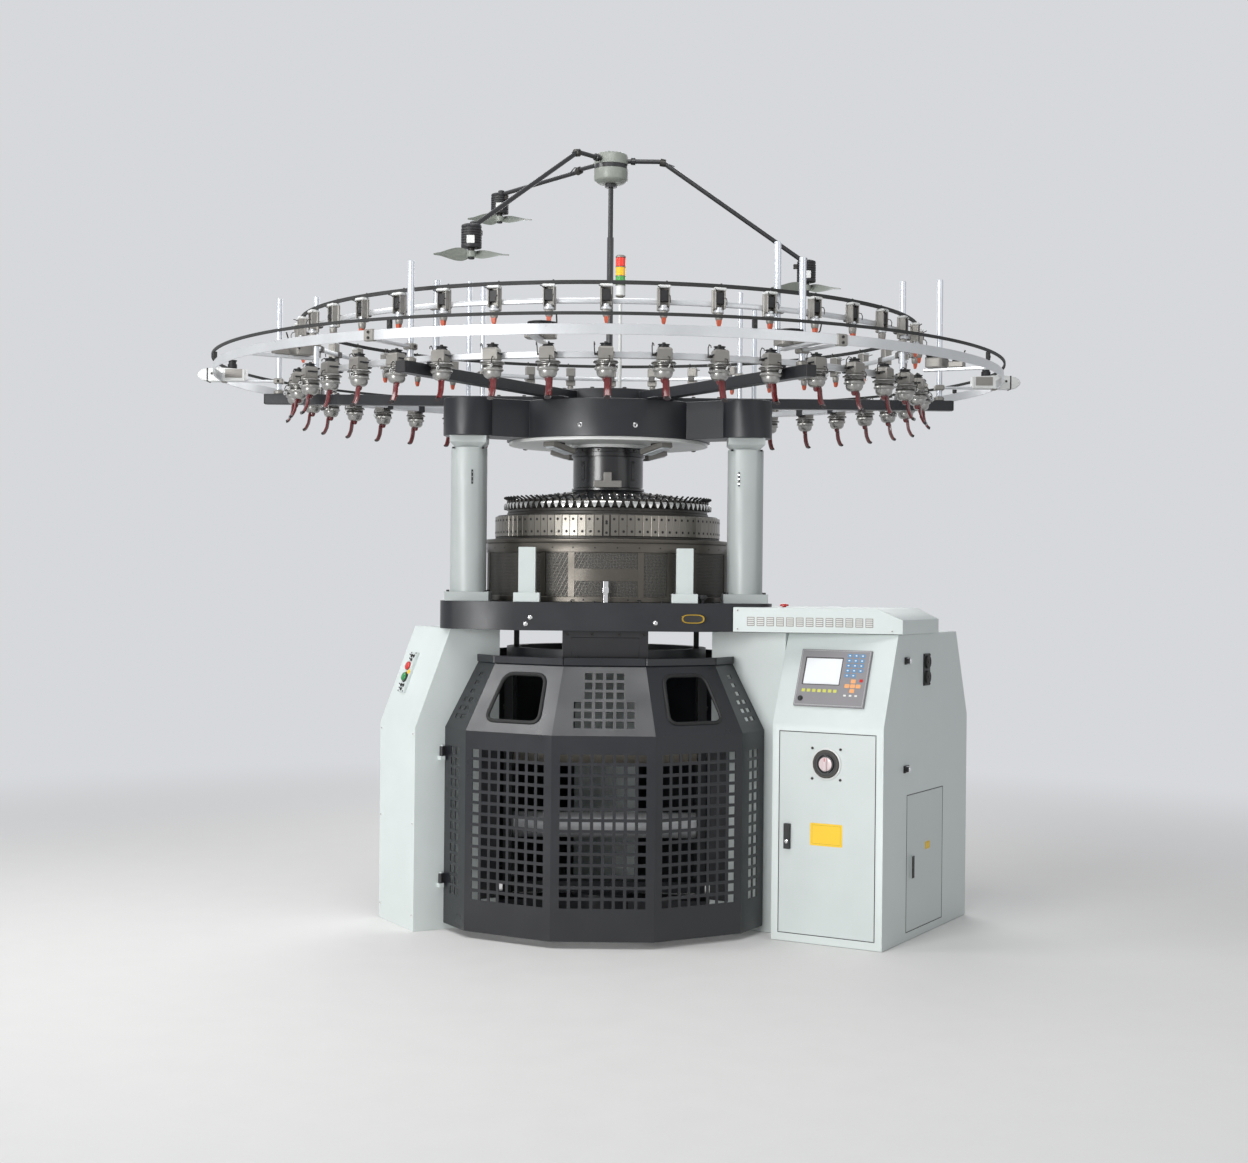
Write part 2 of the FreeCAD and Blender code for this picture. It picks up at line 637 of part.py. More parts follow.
def gate_front():
    """Swinging front of the guard: three whole facets and half of one at each side."""
    reach = 2 * GUARD_R
    wedge = [local(LEFT, GUARD_R / 4, GATE_GAP), local(LEFT, reach, GATE_GAP), (0, -2 * reach),
             local(RIGHT, reach, -GATE_GAP), local(RIGHT, GUARD_R / 4, -GATE_GAP)]
    gate = guard_shell().common(prism(wedge, 0, BED_BOTTOM))
    cutters = []
    middle = 0.5 * (GRILLE_COLUMNS - 1)
    whole = [GRILLE_PITCH_X * (c - middle) for c in range(GRILLE_COLUMNS)]
    for angle in (240.0, 270.0, 300.0):
        cutters += [placed(h, facet_placement(angle, False)) for h in grille_holes(whole)]
    slope_middle = 0.5 * math.hypot(GUARD_SLOPE_TOP - GUARD_KNEE_Z, (GUARD_R - GUARD_TOP_R) * APOTHEM)
    for angle, side in ((LEFT, 1), (RIGHT, -1)):
        cutters += [placed(h, facet_placement(angle, False)) for h in grille_holes([side * EDGE_HOLE_INSET])]
        slots = [hole(side * EDGE_HOLE_INSET * 0.7, slope_middle + SLOT_PITCH * row, VENT_HOLE, SLOT_HEIGHT)
                 for row in (-1, 0, 1)]
        cutters += [placed(s, facet_placement(angle, True)) for s in slots]
    vents = []
    for row, count in enumerate(VENT_ROWS):
        y = slope_middle + VENT_PITCH * (row - (len(VENT_ROWS) - 1) / 2)
        vents += [hole(VENT_PITCH * (c - (count - 1) / 2), y, VENT_HOLE, VENT_HOLE) for c in range(count)]
    cutters += [placed(v, facet_placement(270.0, True)) for v in vents]
    cutters += [placed(window(), facet_placement(a, True)) for a in (240.0, 300.0)]
    gate = gate.cut(Part.makeCompound(cutters))
    return fuse([gate] + [gate_eye(z) for z in HINGE_HEIGHTS])


def gate_eye(z):
    """Strap and eye that hang the gate on one hinge pin."""
    low, high = z + REST_GAP, z + HINGE_EYE_LENGTH
    sheet_face = GUARD_R * APOTHEM - GUARD_SHEET / 2
    strap = arm_prism(LEFT, sheet_face, HINGE_U, HINGE_V - 5, HINGE_V + 5, low, high)
    centre = local(LEFT, HINGE_U, HINGE_V)
    eye = post(HINGE_EYE_R, low, high, centre)
    return strap.fuse(eye).cut(bore_cutter(HINGE_PIN_R, low - 1, high + 1, centre))


def guard_panel(side_angle, side_v, corner, rear_v):
    """Fixed rear part of the guard between a front leg and the rear leg."""
    reach = 2 * GUARD_R
    wedge = [local(side_angle, GUARD_R / 3, side_v), local(side_angle, reach, side_v), corner,
             local(REAR, reach, rear_v), local(REAR, GUARD_R / 3, rear_v)]
    return guard_shell().common(prism(wedge, 0, BED_BOTTOM))


# ---- knitting head ----
def cam_skirt():
    """Lower drum round the needle cylinder, with the flange that carries the cam ring."""
    drum = flat_ring(SKIRT_R, SKIRT_R - SKIRT_WALL, BED_TOP, SKIRT_TOP)
    flange = flat_ring(SKIRT_R + FLANGE_PROUD, BED_BORE_R, SKIRT_TOP, CAM_BOTTOM)
    return fuse([drum, flange])


def feeder_crown():
    """Ring of yarn feeder holders above the cam ring: a smooth band under a notched one."""
    band = flat_ring(CROWN_BODY_R, CROWN_INNER_R, CAM_TOP, CAM_TOP + CROWN_BODY_HEIGHT, ROUND_SIDES)
    step = 360.0 / CROWN_COUNT
    notches = regular(CROWN_NOTCH_R, CROWN_COUNT, step / 2)
    tips = regular(CROWN_TIP_R, CROWN_COUNT, 0)
    outline = [point for pair in zip(tips, notches) for point in pair]
    star = prism(outline, CAM_TOP + CROWN_BODY_HEIGHT, CAM_TOP + CROWN_TOP_HEIGHT)
    inner = prism(regular(CROWN_INNER_R, ROUND_SIDES), CAM_TOP, CAM_TOP + CROWN_TOP_HEIGHT + 1)
    return band.fuse(star.cut(inner)).removeSplitter()


def needle_dial():
    """Upper needle bed with its hub and the shaft that hangs in the centre housing."""
    plate = prism(regular(DIAL_R, ROUND_SIDES), DIAL_BOTTOM, DIAL_TOP)
    hub = prism(regular(DIAL_HUB_R, BARREL_SIDES), DIAL_TOP, HOUSING_BOTTOM - REST_GAP)
    return fuse([plate, hub, shaft(DIAL_SHAFT_R, DIAL_TOP, HOUSING_BOTTOM + DIAL_SHAFT_LENGTH)])


def dial_cover():
    """Shallow cone over the dial."""
    low = DIAL_TOP + 4 * DIAL_GAP
    rim = prism(regular(COVER_RIM_R, ROUND_SIDES), low, low + COVER_RIM_THICK)
    cone = frustum(COVER_RIM_R, HOUSING_R, low + COVER_RIM_THICK, HOUSING_BOTTOM, ROUND_SIDES, 0)
    neck = prism(regular(DIAL_HUB_R + NECK_GAP, BARREL_SIDES), low - 1, HOUSING_BOTTOM + 1)
    return fuse([rim, cone]).cut(neck)


def dial_housing():
    """Centre housing that hangs from the head plate and holds the dial's shaft."""
    turn = 180.0 / HOUSING_SIDES
    body = prism(regular(HOUSING_R, HOUSING_SIDES, 270 + turn), HOUSING_BOTTOM, HOUSING_TOP)
    return body.cut(bore_cutter(DIAL_SHAFT_R, HOUSING_BOTTOM - 1, HOUSING_BOTTOM + DIAL_SHAFT_LENGTH + 5))


def dial_bracket():
    """Foot bracket on the front of the centre housing, an upside-down T."""
    back = -HOUSING_R * math.cos(math.pi / HOUSING_SIDES)
    half, web, rise = BRACKET_WIDTH / 2, BRACKET_WEB / 2, BRACKET_HEIGHT
    low = HOUSING_BOTTOM + 14
    outline = ((-half, low), (half, low), (half, low + rise * 0.45), (web, low + rise * 0.45), (web, low + rise),
               (-web, low + rise), (-web, low + rise * 0.45), (-half, low + rise * 0.45))
    points = [Vec(x, back, z) for x, z in outline]
    return Part.Face(Part.makePolygon(points + points[:1])).extrude(Vec(0, -BRACKET_DEPTH, 0))


def ceiling_plate():
    """Neck flange on the centre housing and the pale plate under the head plate."""
    neck = prism(regular(NECK_R, ROUND_SIDES), HOUSING_TOP, HOUSING_TOP + NECK_THICK)
    plate = prism(regular(CEILING_R, ROUND_SIDES), HOUSING_TOP + NECK_THICK, TOP_FRAME_BOTTOM)
    return fuse([neck, plate])


def grease_fitting():
    """Hexagon fitting on the bed's front edge."""
    centre = (0.0, -POST_Y - 38)
    steps = ((18, 0, 42), (25, 42, 66), (21, 66, 94))
    return fuse([prism(regular(r, 6, 0, centre), BED_TOP + a, BED_TOP + b) for r, a, b in steps])


# ---- drive and take-down ----
def drive_pinion():
    """Upright drive shaft with the pinion that turns the cylinder's gear."""
    centre = (0.0, DRIVE_SHAFT_Y)
    pinion = prism(regular(PINION_R, BARREL_SIDES, 0, centre), GEAR_BOTTOM, GEAR_BOTTOM + GEAR_THICK)
    return fuse([shaft(DRIVE_SHAFT_R, DRIVE_SHAFT_BOTTOM, GEAR_BOTTOM, centre), pinion])


def drive_box():
    """Closed gear case under the bed's front, with the bearing bore of the drive shaft."""
    low = DRIVE_BOX_BACK - DRIVE_BOX_DEPTH
    box = Part.makeBox(2 * DRIVE_BOX_HALF, DRIVE_BOX_DEPTH, BED_BOTTOM - DRIVE_BOX_BOTTOM,
                       Vec(-DRIVE_BOX_HALF, low, DRIVE_BOX_BOTTOM))
    bearing = bore_cutter(DRIVE_SHAFT_R, DRIVE_SHAFT_BOTTOM - REST_GAP, BED_BOTTOM + 1, (0.0, DRIVE_SHAFT_Y))
    return box.cut(bearing)


def takedown_frame():
    """Turning frame under the cylinder: ring, two hangers, two side plates and the foot with its pivot."""
    half, foot_y = TAKEDOWN_HALF, TAKEDOWN_FOOT_WIDTH / 2
    foot_z = BASE_HUB_HEIGHT + REST_GAP
    ring = flat_ring(half, half - TAKEDOWN_RING_WALL, TAKEDOWN_RING_BOTTOM, TAKEDOWN_RING_TOP)
    foot = Part.makeBox(2 * half, 2 * foot_y, TAKEDOWN_FOOT_THICK, Vec(-half, -foot_y, foot_z))
    pin = shaft(PIVOT_R, foot_z - PIVOT_LENGTH, foot_z)
    plates = []
    for side in (-1, 1):
        plates.append(Part.makeBox(TAKEDOWN_PLATE, TAKEDOWN_PLATE_WIDTH, TAKEDOWN_RING_BOTTOM - foot_z,
                                   Vec(side * (half - TAKEDOWN_PLATE / 2) - TAKEDOWN_PLATE / 2,
                                       -TAKEDOWN_PLATE_WIDTH / 2, foot_z)))
        plates.append(Part.makeBox(HANGER_WIDTH, HANGER_DEPTH, GEAR_BOTTOM - TAKEDOWN_RING_TOP,
                                   Vec(side * HANGER_X - HANGER_WIDTH / 2, -HANGER_DEPTH / 2,
                                       TAKEDOWN_RING_TOP)))
    frame = fuse([ring, foot, pin] + plates)
    bores = [along(bore_cutter(ROLLER_JOURNAL_R, -1, 2 * half + 1), (-half, y, z), (1, 0, 0))
             for y, z in roller_places()]
    return frame.cut(Part.makeCompound(bores))


def roller_places():
    """Axes of the front and rear take-down rollers and of the wind-up roller, as (y, z)."""
    offset = ROLLER_R + ROLLER_NIP / 2
    return ((-offset, ROLLER_Z), (offset, ROLLER_Z), (0.0, WINDUP_Z))


def roller(index, radius):
    """Roller with a journal at each end, in the side plates."""
    y, z = roller_places()[index]
    half = TAKEDOWN_HALF - TAKEDOWN_PLATE - ROLLER_END_GAP
    barrel = shaft(radius, TAKEDOWN_HALF - half, TAKEDOWN_HALF + half)
    journal = prism(regular(ROLLER_JOURNAL_R, BORE_SIDES), 0, 2 * TAKEDOWN_HALF)
    return along(fuse([barrel, journal]), (-TAKEDOWN_HALF, y, z), (1, 0, 0))


# ---- creel ----
def creel_hub():
    """Raised hub with six square arms that carry the feeder rings."""
    hub = prism(regular(HUB_R, ROUND_SIDES), TOP_FRAME_TOP, HUB_TOP)
    half = ARM_WIDTH / 2
    arms = [arm_prism(i * ARM_STEP, HUB_R / 2, ARM_REACH, -half, half, TOP_FRAME_TOP, ARM_TOP)
            for i in range(ARM_COUNT)]
    return fuse([hub] + arms)


def feeder_angles():
    """Places round the lower ring, one a flat, leaving out those over an arm."""
    angles = [270 + i * FEEDER_STEP for i in range(RING_SIDES)]
    return [a for a in angles if min(a % ARM_STEP, ARM_STEP - a % ARM_STEP) > FEEDER_STEP / 4]


def feeder_ring_lower():
    """Lower ring with its storage feeders: clamp body over a disc."""
    half = RING_BAR / 2
    turn = FEEDER_STEP / 2
    pieces = [flat_ring(RING_R + half, RING_R - half, LOWER_RING_Z, LOWER_RING_Z + RING_BAR, RING_SIDES, turn)]
    for i in range(ARM_COUNT):
        pieces.append(arm_prism(i * ARM_STEP, POST_INNER_R + ROD_FLAT, RING_R + 8, -18, 18, ARM_TOP,
                                LOWER_RING_Z + 4))
    near = (RING_R + half) * math.cos(math.pi / RING_SIDES)
    middle = near + FEEDER_BODY / 2
    for angle in feeder_angles():
        pieces.append(arm_prism(angle, near, near + FEEDER_BODY, -FEEDER_BODY / 2, FEEDER_BODY / 2,
                                FEEDER_BOTTOM, FEEDER_TOP))
        centre = local(angle, middle, 0)
        pieces.append(prism(regular(FEEDER_DISC_R, 6, angle, centre), FEEDER_BOTTOM - FEEDER_DISC_THICK,
                            FEEDER_BOTTOM))
    return fuse(pieces)


def yarn_levers():
    """Slanting stop-motion levers, one under each storage feeder."""
    top = FEEDER_BOTTOM - FEEDER_DISC_THICK
    near = RING_R + RING_BAR / 2
    outline = ((near, top), (near + 26, top), (near + 46, top - LEVER_DROP), (near + 30, top - LEVER_DROP))
    return Part.makeCompound([profile_along_v(a, outline, -LEVER_THICK / 2, LEVER_THICK / 2)
                              for a in feeder_angles()])


def feeder_ring_upper():
    """Upper ring with its smaller yarn guide units."""
    half = UPPER_BAR / 2
    pieces = [flat_ring(RING_R + half, RING_R - half, UPPER_RING_Z, UPPER_RING_Z + UPPER_BAR,
                        RING_SIDES, FEEDER_STEP / 2)]
    near = (RING_R + half) * math.cos(math.pi / RING_SIDES)
    for i in range(RING_SIDES):
        angle = 270 + i * FEEDER_STEP
        pieces.append(arm_prism(angle, near, near + UNIT_DEPTH, -UNIT_WIDTH / 2, UNIT_WIDTH / 2,
                                UNIT_BOTTOM, UNIT_TOP))
    for i in range(ARM_COUNT):
        inner = POST_INNER_R + ROD_FLAT
        pieces.append(arm_prism(i * ARM_STEP, inner, RING_R, -20, 20, UPPER_RING_Z, UPPER_RING_Z + UPPER_BAR))
    return fuse(pieces)


def belt_upper():
    """Toothed drive belt that runs on the upper guide units."""
    middle = (RING_R + UPPER_BAR / 2) * math.cos(math.pi / RING_SIDES) + UNIT_DEPTH / 2
    return flat_ring(middle + BELT_WIDTH / 2, middle - BELT_WIDTH / 2, UNIT_TOP, UNIT_TOP + BELT_HEIGHT,
                     RING_SIDES, FEEDER_STEP / 2)


def rod(angle, distance, top):
    """Upright creel rod with six flats, one of them facing outward."""
    centre = local(angle, distance, 0)
    across = ROD_FLAT / math.cos(math.pi / 6)
    return prism(regular(across, 6, angle + 30, centre), ARM_TOP, top)


def creel_posts():
    """Two upright rods on each arm."""
    rods = []
    for i, (inner_top, outer_top) in enumerate(ROD_TOPS):
        rods.append(rod(i * ARM_STEP, POST_INNER_R, inner_top))
        rods.append(rod(i * ARM_STEP, POST_OUTER_R, outer_top))
    return Part.makeCompound(rods)


def outer_ring():
    """Flat outer ring with the bars that hold it to the outer rods and its two end brackets."""
    high = OUTER_RING_Z + OUTER_BAR_HEIGHT
    pieces = [flat_ring(OUTER_RING_R + OUTER_BAR / 2, OUTER_RING_R - OUTER_BAR / 2, OUTER_RING_Z, high,
                        RING_SIDES, FEEDER_STEP / 2)]
    for i in range(ARM_COUNT):
        pieces.append(arm_prism(i * ARM_STEP, POST_OUTER_R + ROD_FLAT, OUTER_RING_R, -OUTER_BRACKET_WIDTH / 2,
                                OUTER_BRACKET_WIDTH / 2, OUTER_RING_Z, OUTER_RING_Z + 12))
    inner, tip = OUTER_RING_R - NOSE_INNER, OUTER_RING_R + NOSE_OUTER
    nose = ((inner, OUTER_RING_Z), (tip - 40, OUTER_RING_Z), (tip, high - 15), (tip - 20, high + 20),
            (tip - 90, high + 28), (inner, high + 20))
    pieces += [profile_along_v(a, nose, -NOSE_HALF, NOSE_HALF) for a in (0.0, 180.0)]
    return fuse(pieces)


def belt_lower():
    """Drive belt over the outer ring, on short stays."""
    high = OUTER_RING_Z + OUTER_BAR_HEIGHT
    belt = flat_ring(OUTER_RING_R + BELT_WIDTH / 2, OUTER_RING_R - BELT_WIDTH / 2, LOWER_BELT_Z,
                     LOWER_BELT_Z + BELT_HEIGHT * 0.75, RING_SIDES, FEEDER_STEP / 2)
    flat_r = OUTER_RING_R * math.cos(math.pi / RING_SIDES)
    stays = [arm_prism(STAY_START + i * 360 / STAY_COUNT, flat_r - BELT_WIDTH / 2, flat_r + BELT_WIDTH / 2 - 1,
                       -STAY_WIDTH / 2, STAY_WIDTH / 2, high, LOWER_BELT_Z + 2) for i in range(STAY_COUNT)]
    return fuse([belt] + stays)


def belt_tensioners():
    """Four tension units between the feeder ring and the outer ring."""
    units = []
    low = OUTER_RING_Z
    ring_face = (OUTER_RING_R - OUTER_BAR / 2) * math.cos(math.pi / RING_SIDES)
    for angle in TENSIONER_ANGLES:
        bar = arm_prism(angle, TENSIONER_R - 60, ring_face, -16, 16, low, low + 14)
        body = arm_prism(angle, TENSIONER_R - 40, TENSIONER_R + 40, -60, 60, low + 14, low + 54)
        centre = local(angle, TENSIONER_R, 0)
        wheel = post(52, low + 54, low + 78, centre)
        units.append(fuse([bar, body, wheel]))
    return Part.makeCompound(units)


# ---- signal lamp and lint fans ----
def fan_mast():
    """Mast on the creel hub, stepped down and with a collar under the fan hub."""
    lower = post(MAST_R, HUB_TOP, MAST_STEP_Z)
    upper = shaft(MAST_TOP_R, MAST_STEP_Z, FAN_HUB_BOTTOM + FAN_BORE_DEPTH - 5)
    collar = post(MAST_COLLAR_R, FAN_HUB_BOTTOM - 18, FAN_HUB_BOTTOM - REST_GAP)
    return fuse([lower, upper, collar])


def fan_hub():
    """Turning hub of the lint fans."""
    low, high = FAN_HUB_BOTTOM, FAN_HUB_BOTTOM + FAN_HUB_HEIGHT
    turn = 180.0 / FAN_HUB_SIDES
    body = prism(regular(FAN_HUB_R, FAN_HUB_SIDES, turn), low + 16, high - 10)
    foot = frustum(FAN_HUB_R - 22, FAN_HUB_R, low, low + 16, FAN_HUB_SIDES, turn)
    crown = frustum(FAN_HUB_R, FAN_HUB_R - 12, high - 10, high, FAN_HUB_SIDES, turn)
    return fuse([foot, body, crown]).cut(bore_cutter(MAST_TOP_R, low - 1, low + FAN_BORE_DEPTH))


def fan_point(index, distance, z):
    """Place on the arm of one lint fan."""
    return (*local(FAN_PLACES[index][0], distance, 0), z)


def fan_arm(index):
    """Bent arm with the motor at its end."""
    angle, distance, z = FAN_PLACES[index]
    motor_top = z + PROPELLER_THICK + MOTOR_HEIGHT + 10
    start = fan_point(index, FAN_HUB_R * math.cos(math.pi / FAN_HUB_SIDES), FAN_ARM_Z)
    elbow = fan_point(index, FAN_ELBOW_R, FAN_ARM_Z)
    end = fan_point(index, distance, motor_top - 14)
    level = bar_between(start, fan_point(index, FAN_ELBOW_R + 6, FAN_ARM_Z), FAN_ARM_R)
    slope = bar_between(elbow, end, FAN_ARM_R)
    centre = local(angle, distance, 0)
    motor = prism(regular(MOTOR_R, BARREL_SIDES, 0, centre), z + PROPELLER_THICK + 10, motor_top)
    spindle = shaft(FAN_SHAFT_R, z + 2, z + PROPELLER_THICK + 12, centre)
    collar = post(FAN_SHAFT_R + 8, z + PROPELLER_THICK + REST_GAP, z + PROPELLER_THICK + 12, centre)
    return fuse([level, slope, motor, spindle, collar])


def propeller(index):
    """Two-bladed propeller on one motor's shaft."""
    angle, distance, z = FAN_PLACES[index]
    hub = prism(regular(PROPELLER_HUB_R, 12), 0, PROPELLER_THICK)
    root = PROPELLER_HUB_R - 6
    leading = ((root, -9), (root + 12, -15), (BLADE_WIDEST, -BLADE_HALF), (PROPELLER_R, -6))
    trailing = ((PROPELLER_R - 8, 6), (BLADE_WIDEST, BLADE_HALF), (root + 12, 15), (root, 9))
    middle = PROPELLER_THICK / 2
    blade = prism(leading + trailing, middle - BLADE_THICK / 2, middle + BLADE_THICK / 2)
    blade.rotate(Vec(0, 0, middle), Vec(1, 0, 0), BLADE_PITCH)
    both = fuse([hub, blade, turned(blade, 180)]).cut(bore_cutter(FAN_SHAFT_R, 2, PROPELLER_THICK + 1))
    spun = turned(both, angle + 30)
    spun.translate(Vec(*local(angle, distance, 0), z))
    return spun


# ---- cabinet and controls ----
def cabinet_shell():
    """Control cabinet casing, open where its front and side doors fit."""
    top_front = CABINET_FRONT + CABINET_SLOPE
    top_back = CABINET_BACK - CABINET_SLOPE
    outline = ((CABINET_FRONT, 0), (CABINET_FRONT, CABINET_KNEE_Z), (top_front, BED_BOTTOM),
               (top_back, BED_BOTTOM), (CABINET_BACK, CABINET_KNEE_Z), (CABINET_BACK, 0))
    casing = profile_along_u(RIGHT, outline, CABINET_INNER, CABINET_OUTER)
    inside = arm_prism(RIGHT, CABINET_INNER + CABINET_WALL, CABINET_OUTER - CABINET_WALL,
                       CABINET_FRONT + CABINET_WALL, CABINET_BACK - CABINET_WALL,
                       DOOR_BOTTOM - DOOR_GAP, DOOR_TOP + DOOR_GAP)
    front = arm_prism(RIGHT, DOOR_INNER - DOOR_GAP, DOOR_OUTER + DOOR_GAP, CABINET_FRONT - 1,
                      CABINET_FRONT + CABINET_WALL + 1, DOOR_BOTTOM - DOOR_GAP, DOOR_TOP + DOOR_GAP)
    side = arm_prism(RIGHT, CABINET_OUTER - CABINET_WALL - 1, CABINET_OUTER + 1, SIDE_DOOR_FRONT - DOOR_GAP,
                     SIDE_DOOR_BACK + DOOR_GAP, DOOR_BOTTOM - DOOR_GAP, SIDE_DOOR_TOP + DOOR_GAP)
    return casing.cut(fuse([inside, front, side]))


def cabinet_door():
    """Front door panel with the bores of the switch and the handle."""
    panel = arm_prism(RIGHT, DOOR_INNER, DOOR_OUTER, CABINET_FRONT, CABINET_FRONT + DOOR_THICK,
                      DOOR_BOTTOM, DOOR_TOP)
    bores = [into_door(bore_cutter(BUTTON_STEM_R, -1, DOOR_THICK - 4), SWITCH_U, SWITCH_Z),
             into_door(bore_cutter(BUTTON_STEM_R, -1, DOOR_THICK - 4), HANDLE_U, HANDLE_Z)]
    return panel.cut(Part.makeCompound(bores))


def into_door(shape, u, z):
    """Upright shape laid square to the door's face, its z = 0 on that face and +Z inward."""
    return along(shape, (*local(RIGHT, u, CABINET_FRONT), z), (*local(RIGHT, 0, 1), 0))


def switch_ring():
    """Round escutcheon of the main switch."""
    ring = flat_ring(SWITCH_RING_R, SWITCH_KNOB_R + 2, -SWITCH_RING_THICK, 0, BARREL_SIDES)
    return into_door(ring, SWITCH_U, SWITCH_Z)


def main_switch():
    """Rotary main switch with a grip bar and a stem in the door."""
    knob = prism(regular(SWITCH_KNOB_R, BARREL_SIDES), -REST_GAP - 14, -REST_GAP)
    stem = shaft(BUTTON_STEM_R, -REST_GAP - 1, DOOR_THICK - 6)
    grip = arm_prism(RIGHT, SWITCH_U - 9, SWITCH_U + 9, CABINET_FRONT - REST_GAP - SWITCH_KNOB_LENGTH,
                     CABINET_FRONT - REST_GAP - 13, SWITCH_Z - 30, SWITCH_Z + 30)
    return fuse([into_door(knob, SWITCH_U, SWITCH_Z), into_door(stem, SWITCH_U, SWITCH_Z), grip])


def door_handle():
    """Upright quarter-turn handle with a stem in the door."""
    near = CABINET_FRONT - REST_GAP
    grip = arm_prism(RIGHT, HANDLE_U - HANDLE_WIDTH / 2, HANDLE_U + HANDLE_WIDTH / 2, near - HANDLE_THICK, near,
                     HANDLE_Z - HANDLE_HEIGHT / 2, HANDLE_Z + HANDLE_HEIGHT / 2)
    stem = shaft(BUTTON_STEM_R, -REST_GAP - 1, DOOR_THICK - 6)
    return fuse([grip, into_door(stem, HANDLE_U, HANDLE_Z)])


def side_door():
    """Lower side door with its fixed pull."""
    panel = arm_prism(RIGHT, CABINET_OUTER - DOOR_THICK, CABINET_OUTER, SIDE_DOOR_FRONT, SIDE_DOOR_BACK,
                      DOOR_BOTTOM, SIDE_DOOR_TOP)
    pull = arm_prism(RIGHT, CABINET_OUTER, CABINET_OUTER + 12, SIDE_HANDLE_V - 12, SIDE_HANDLE_V + 12,
                     SIDE_HANDLE_Z - 50, SIDE_HANDLE_Z + 50)
    return fuse([panel, pull])


def side_latches():
    """Two over-centre latches on the cabinet's side."""
    latches = []
    for z in LATCH_HEIGHTS:
        plate = arm_prism(RIGHT, CABINET_OUTER, CABINET_OUTER + 6, LATCH_V - 30, LATCH_V + 30, z - 16, z + 16)
        bow = arm_prism(RIGHT, CABINET_OUTER + 6, CABINET_OUTER + 20, LATCH_V - 24, LATCH_V + 10, z - 9, z + 9)
        latches.append(fuse([plate, bow]))
    return Part.makeCompound(latches)


def cabinet_vents():
    """Two round fan guards, one over the other, on a small plate."""
    out = (*local(RIGHT, 1, 0), 0)
    pieces = [arm_prism(RIGHT, CABINET_OUTER, CABINET_OUTER + 4, VENT_V - 40, VENT_V + 40, VENT_Z - 72, VENT_Z + 72)]
    for z in (VENT_Z - 34, VENT_Z + 34):
        start = (*local(RIGHT, CABINET_OUTER + 3, VENT_V), z)
        pieces.append(along(prism(regular(VENT_R, BARREL_SIDES), 0, 9), start, out))
    return fuse(pieces)


def panel_frame():
    """Placement on the cabinet's sloping face: X along the arm, Y up the slope, Z out."""
    knee = (0, CABINET_FRONT, CABINET_KNEE_Z)
    top = (0, CABINET_FRONT + CABINET_SLOPE, BED_BOTTOM)
    return slope_frame(RIGHT, knee, top, (1, 0))


def operator_panel():
    """Operating panel with a raised bezel and sunk screen."""
    outer = Part.makeBox(PANEL_OUTER - PANEL_INNER, PANEL_TOP - PANEL_BOTTOM, PANEL_THICK,
                         Vec(PANEL_INNER, PANEL_BOTTOM, 0))
    corner = Vec(PANEL_INNER + SCREEN_SIDE, PANEL_TOP - SCREEN_BELOW_TOP - SCREEN_HEIGHT,
                 PANEL_THICK - SCREEN_DEPTH)
    screen = Part.makeBox(SCREEN_WIDTH, SCREEN_HEIGHT, SCREEN_DEPTH + 1, corner)
    return placed(outer.cut(screen), panel_frame())


def cabinet_cover():
    """Long cover from the bed's corner over the leg and the cabinet, chamfered at its outer end."""
    cover = prism(COVER_CORNERS, BED_BOTTOM, COVER_TOP)
    tip, far = Vec(*COVER_CORNERS[1], 0), Vec(*COVER_CORNERS[2], 0)
    inward = Vec(far.y - tip.y, tip.x - far.x, 0).normalize() * -1
    if inward.x > 0:
        inward = inward * -1
    edge = (far - tip).normalize()
    start = tip - edge * COVER_CHAMFER_RUN
    outline = [start + UP * (COVER_TOP + 1), start + inward * COVER_CHAMFER_RUN + UP * (COVER_TOP + 1),
               start - inward * 1 + UP * (COVER_TOP - COVER_CHAMFER_DROP)]
    sweep = edge * ((far - tip).Length + 2 * COVER_CHAMFER_RUN)
    wedge = Part.Face(Part.makePolygon(outline + outline[:1])).extrude(sweep)
    bore = post_hole(BUTTON_STEM_R, COVER_TOP - BUTTON_STEM_DEPTH - 6, COVER_TOP + 1,
                     (COVER_BUTTON_X, COVER_BUTTON_Y))
    bed = bed_outline(COVER_BED_GAP, BED_BOTTOM - 1, BED_TOP + 1)
    return cover.cut(wedge).cut(bed).cut(bore)


def push_button(rise):
    """Mushroom button standing on the XY plane, with its stem below."""
    cap = prism(regular(BUTTON_CAP_R, BARREL_SIDES), rise, rise + BUTTON_CAP_THICK)
    return fuse([cap, post(BUTTON_STEM_R, -BUTTON_STEM_DEPTH, rise + 1)])


def cover_button():
    place = FreeCAD.Placement(Vec(COVER_BUTTON_X, COVER_BUTTON_Y, COVER_TOP), FreeCAD.Rotation())
    return placed(push_button(BUTTON_RISE), place)


def strip_frame(s, out):
    """Placement at a height s up the left leg's sloping face, out millimetres proud of it."""
    frame = slope_frame(LEFT, (LEG_OUTER, STRIP_V, LEG_KNEE_Z), (LEG_TOP_OUTER, STRIP_V, BED_BOTTOM), (0, 1))
    return frame.multiply(FreeCAD.Placement(Vec(0, s, out), FreeCAD.Rotation()))


def button_strip():
    """Control strip on the left leg, with bores for its two push buttons."""
    plate = Part.makeBox(STRIP_WIDTH, STRIP_TOP - STRIP_BOTTOM, STRIP_THICK, Vec(-STRIP_WIDTH / 2, STRIP_BOTTOM, 0))
    bores = [post_hole(BUTTON_STEM_R, 1, STRIP_THICK + 1, (0, s)) for s in (STOP_S, START_S)]
    return placed(plate.cut(Part.makeCompound(bores)), strip_frame(0, 0))


def strip_button(s):
    return placed(push_button(BUTTON_RISE), strip_frame(s, STRIP_THICK))


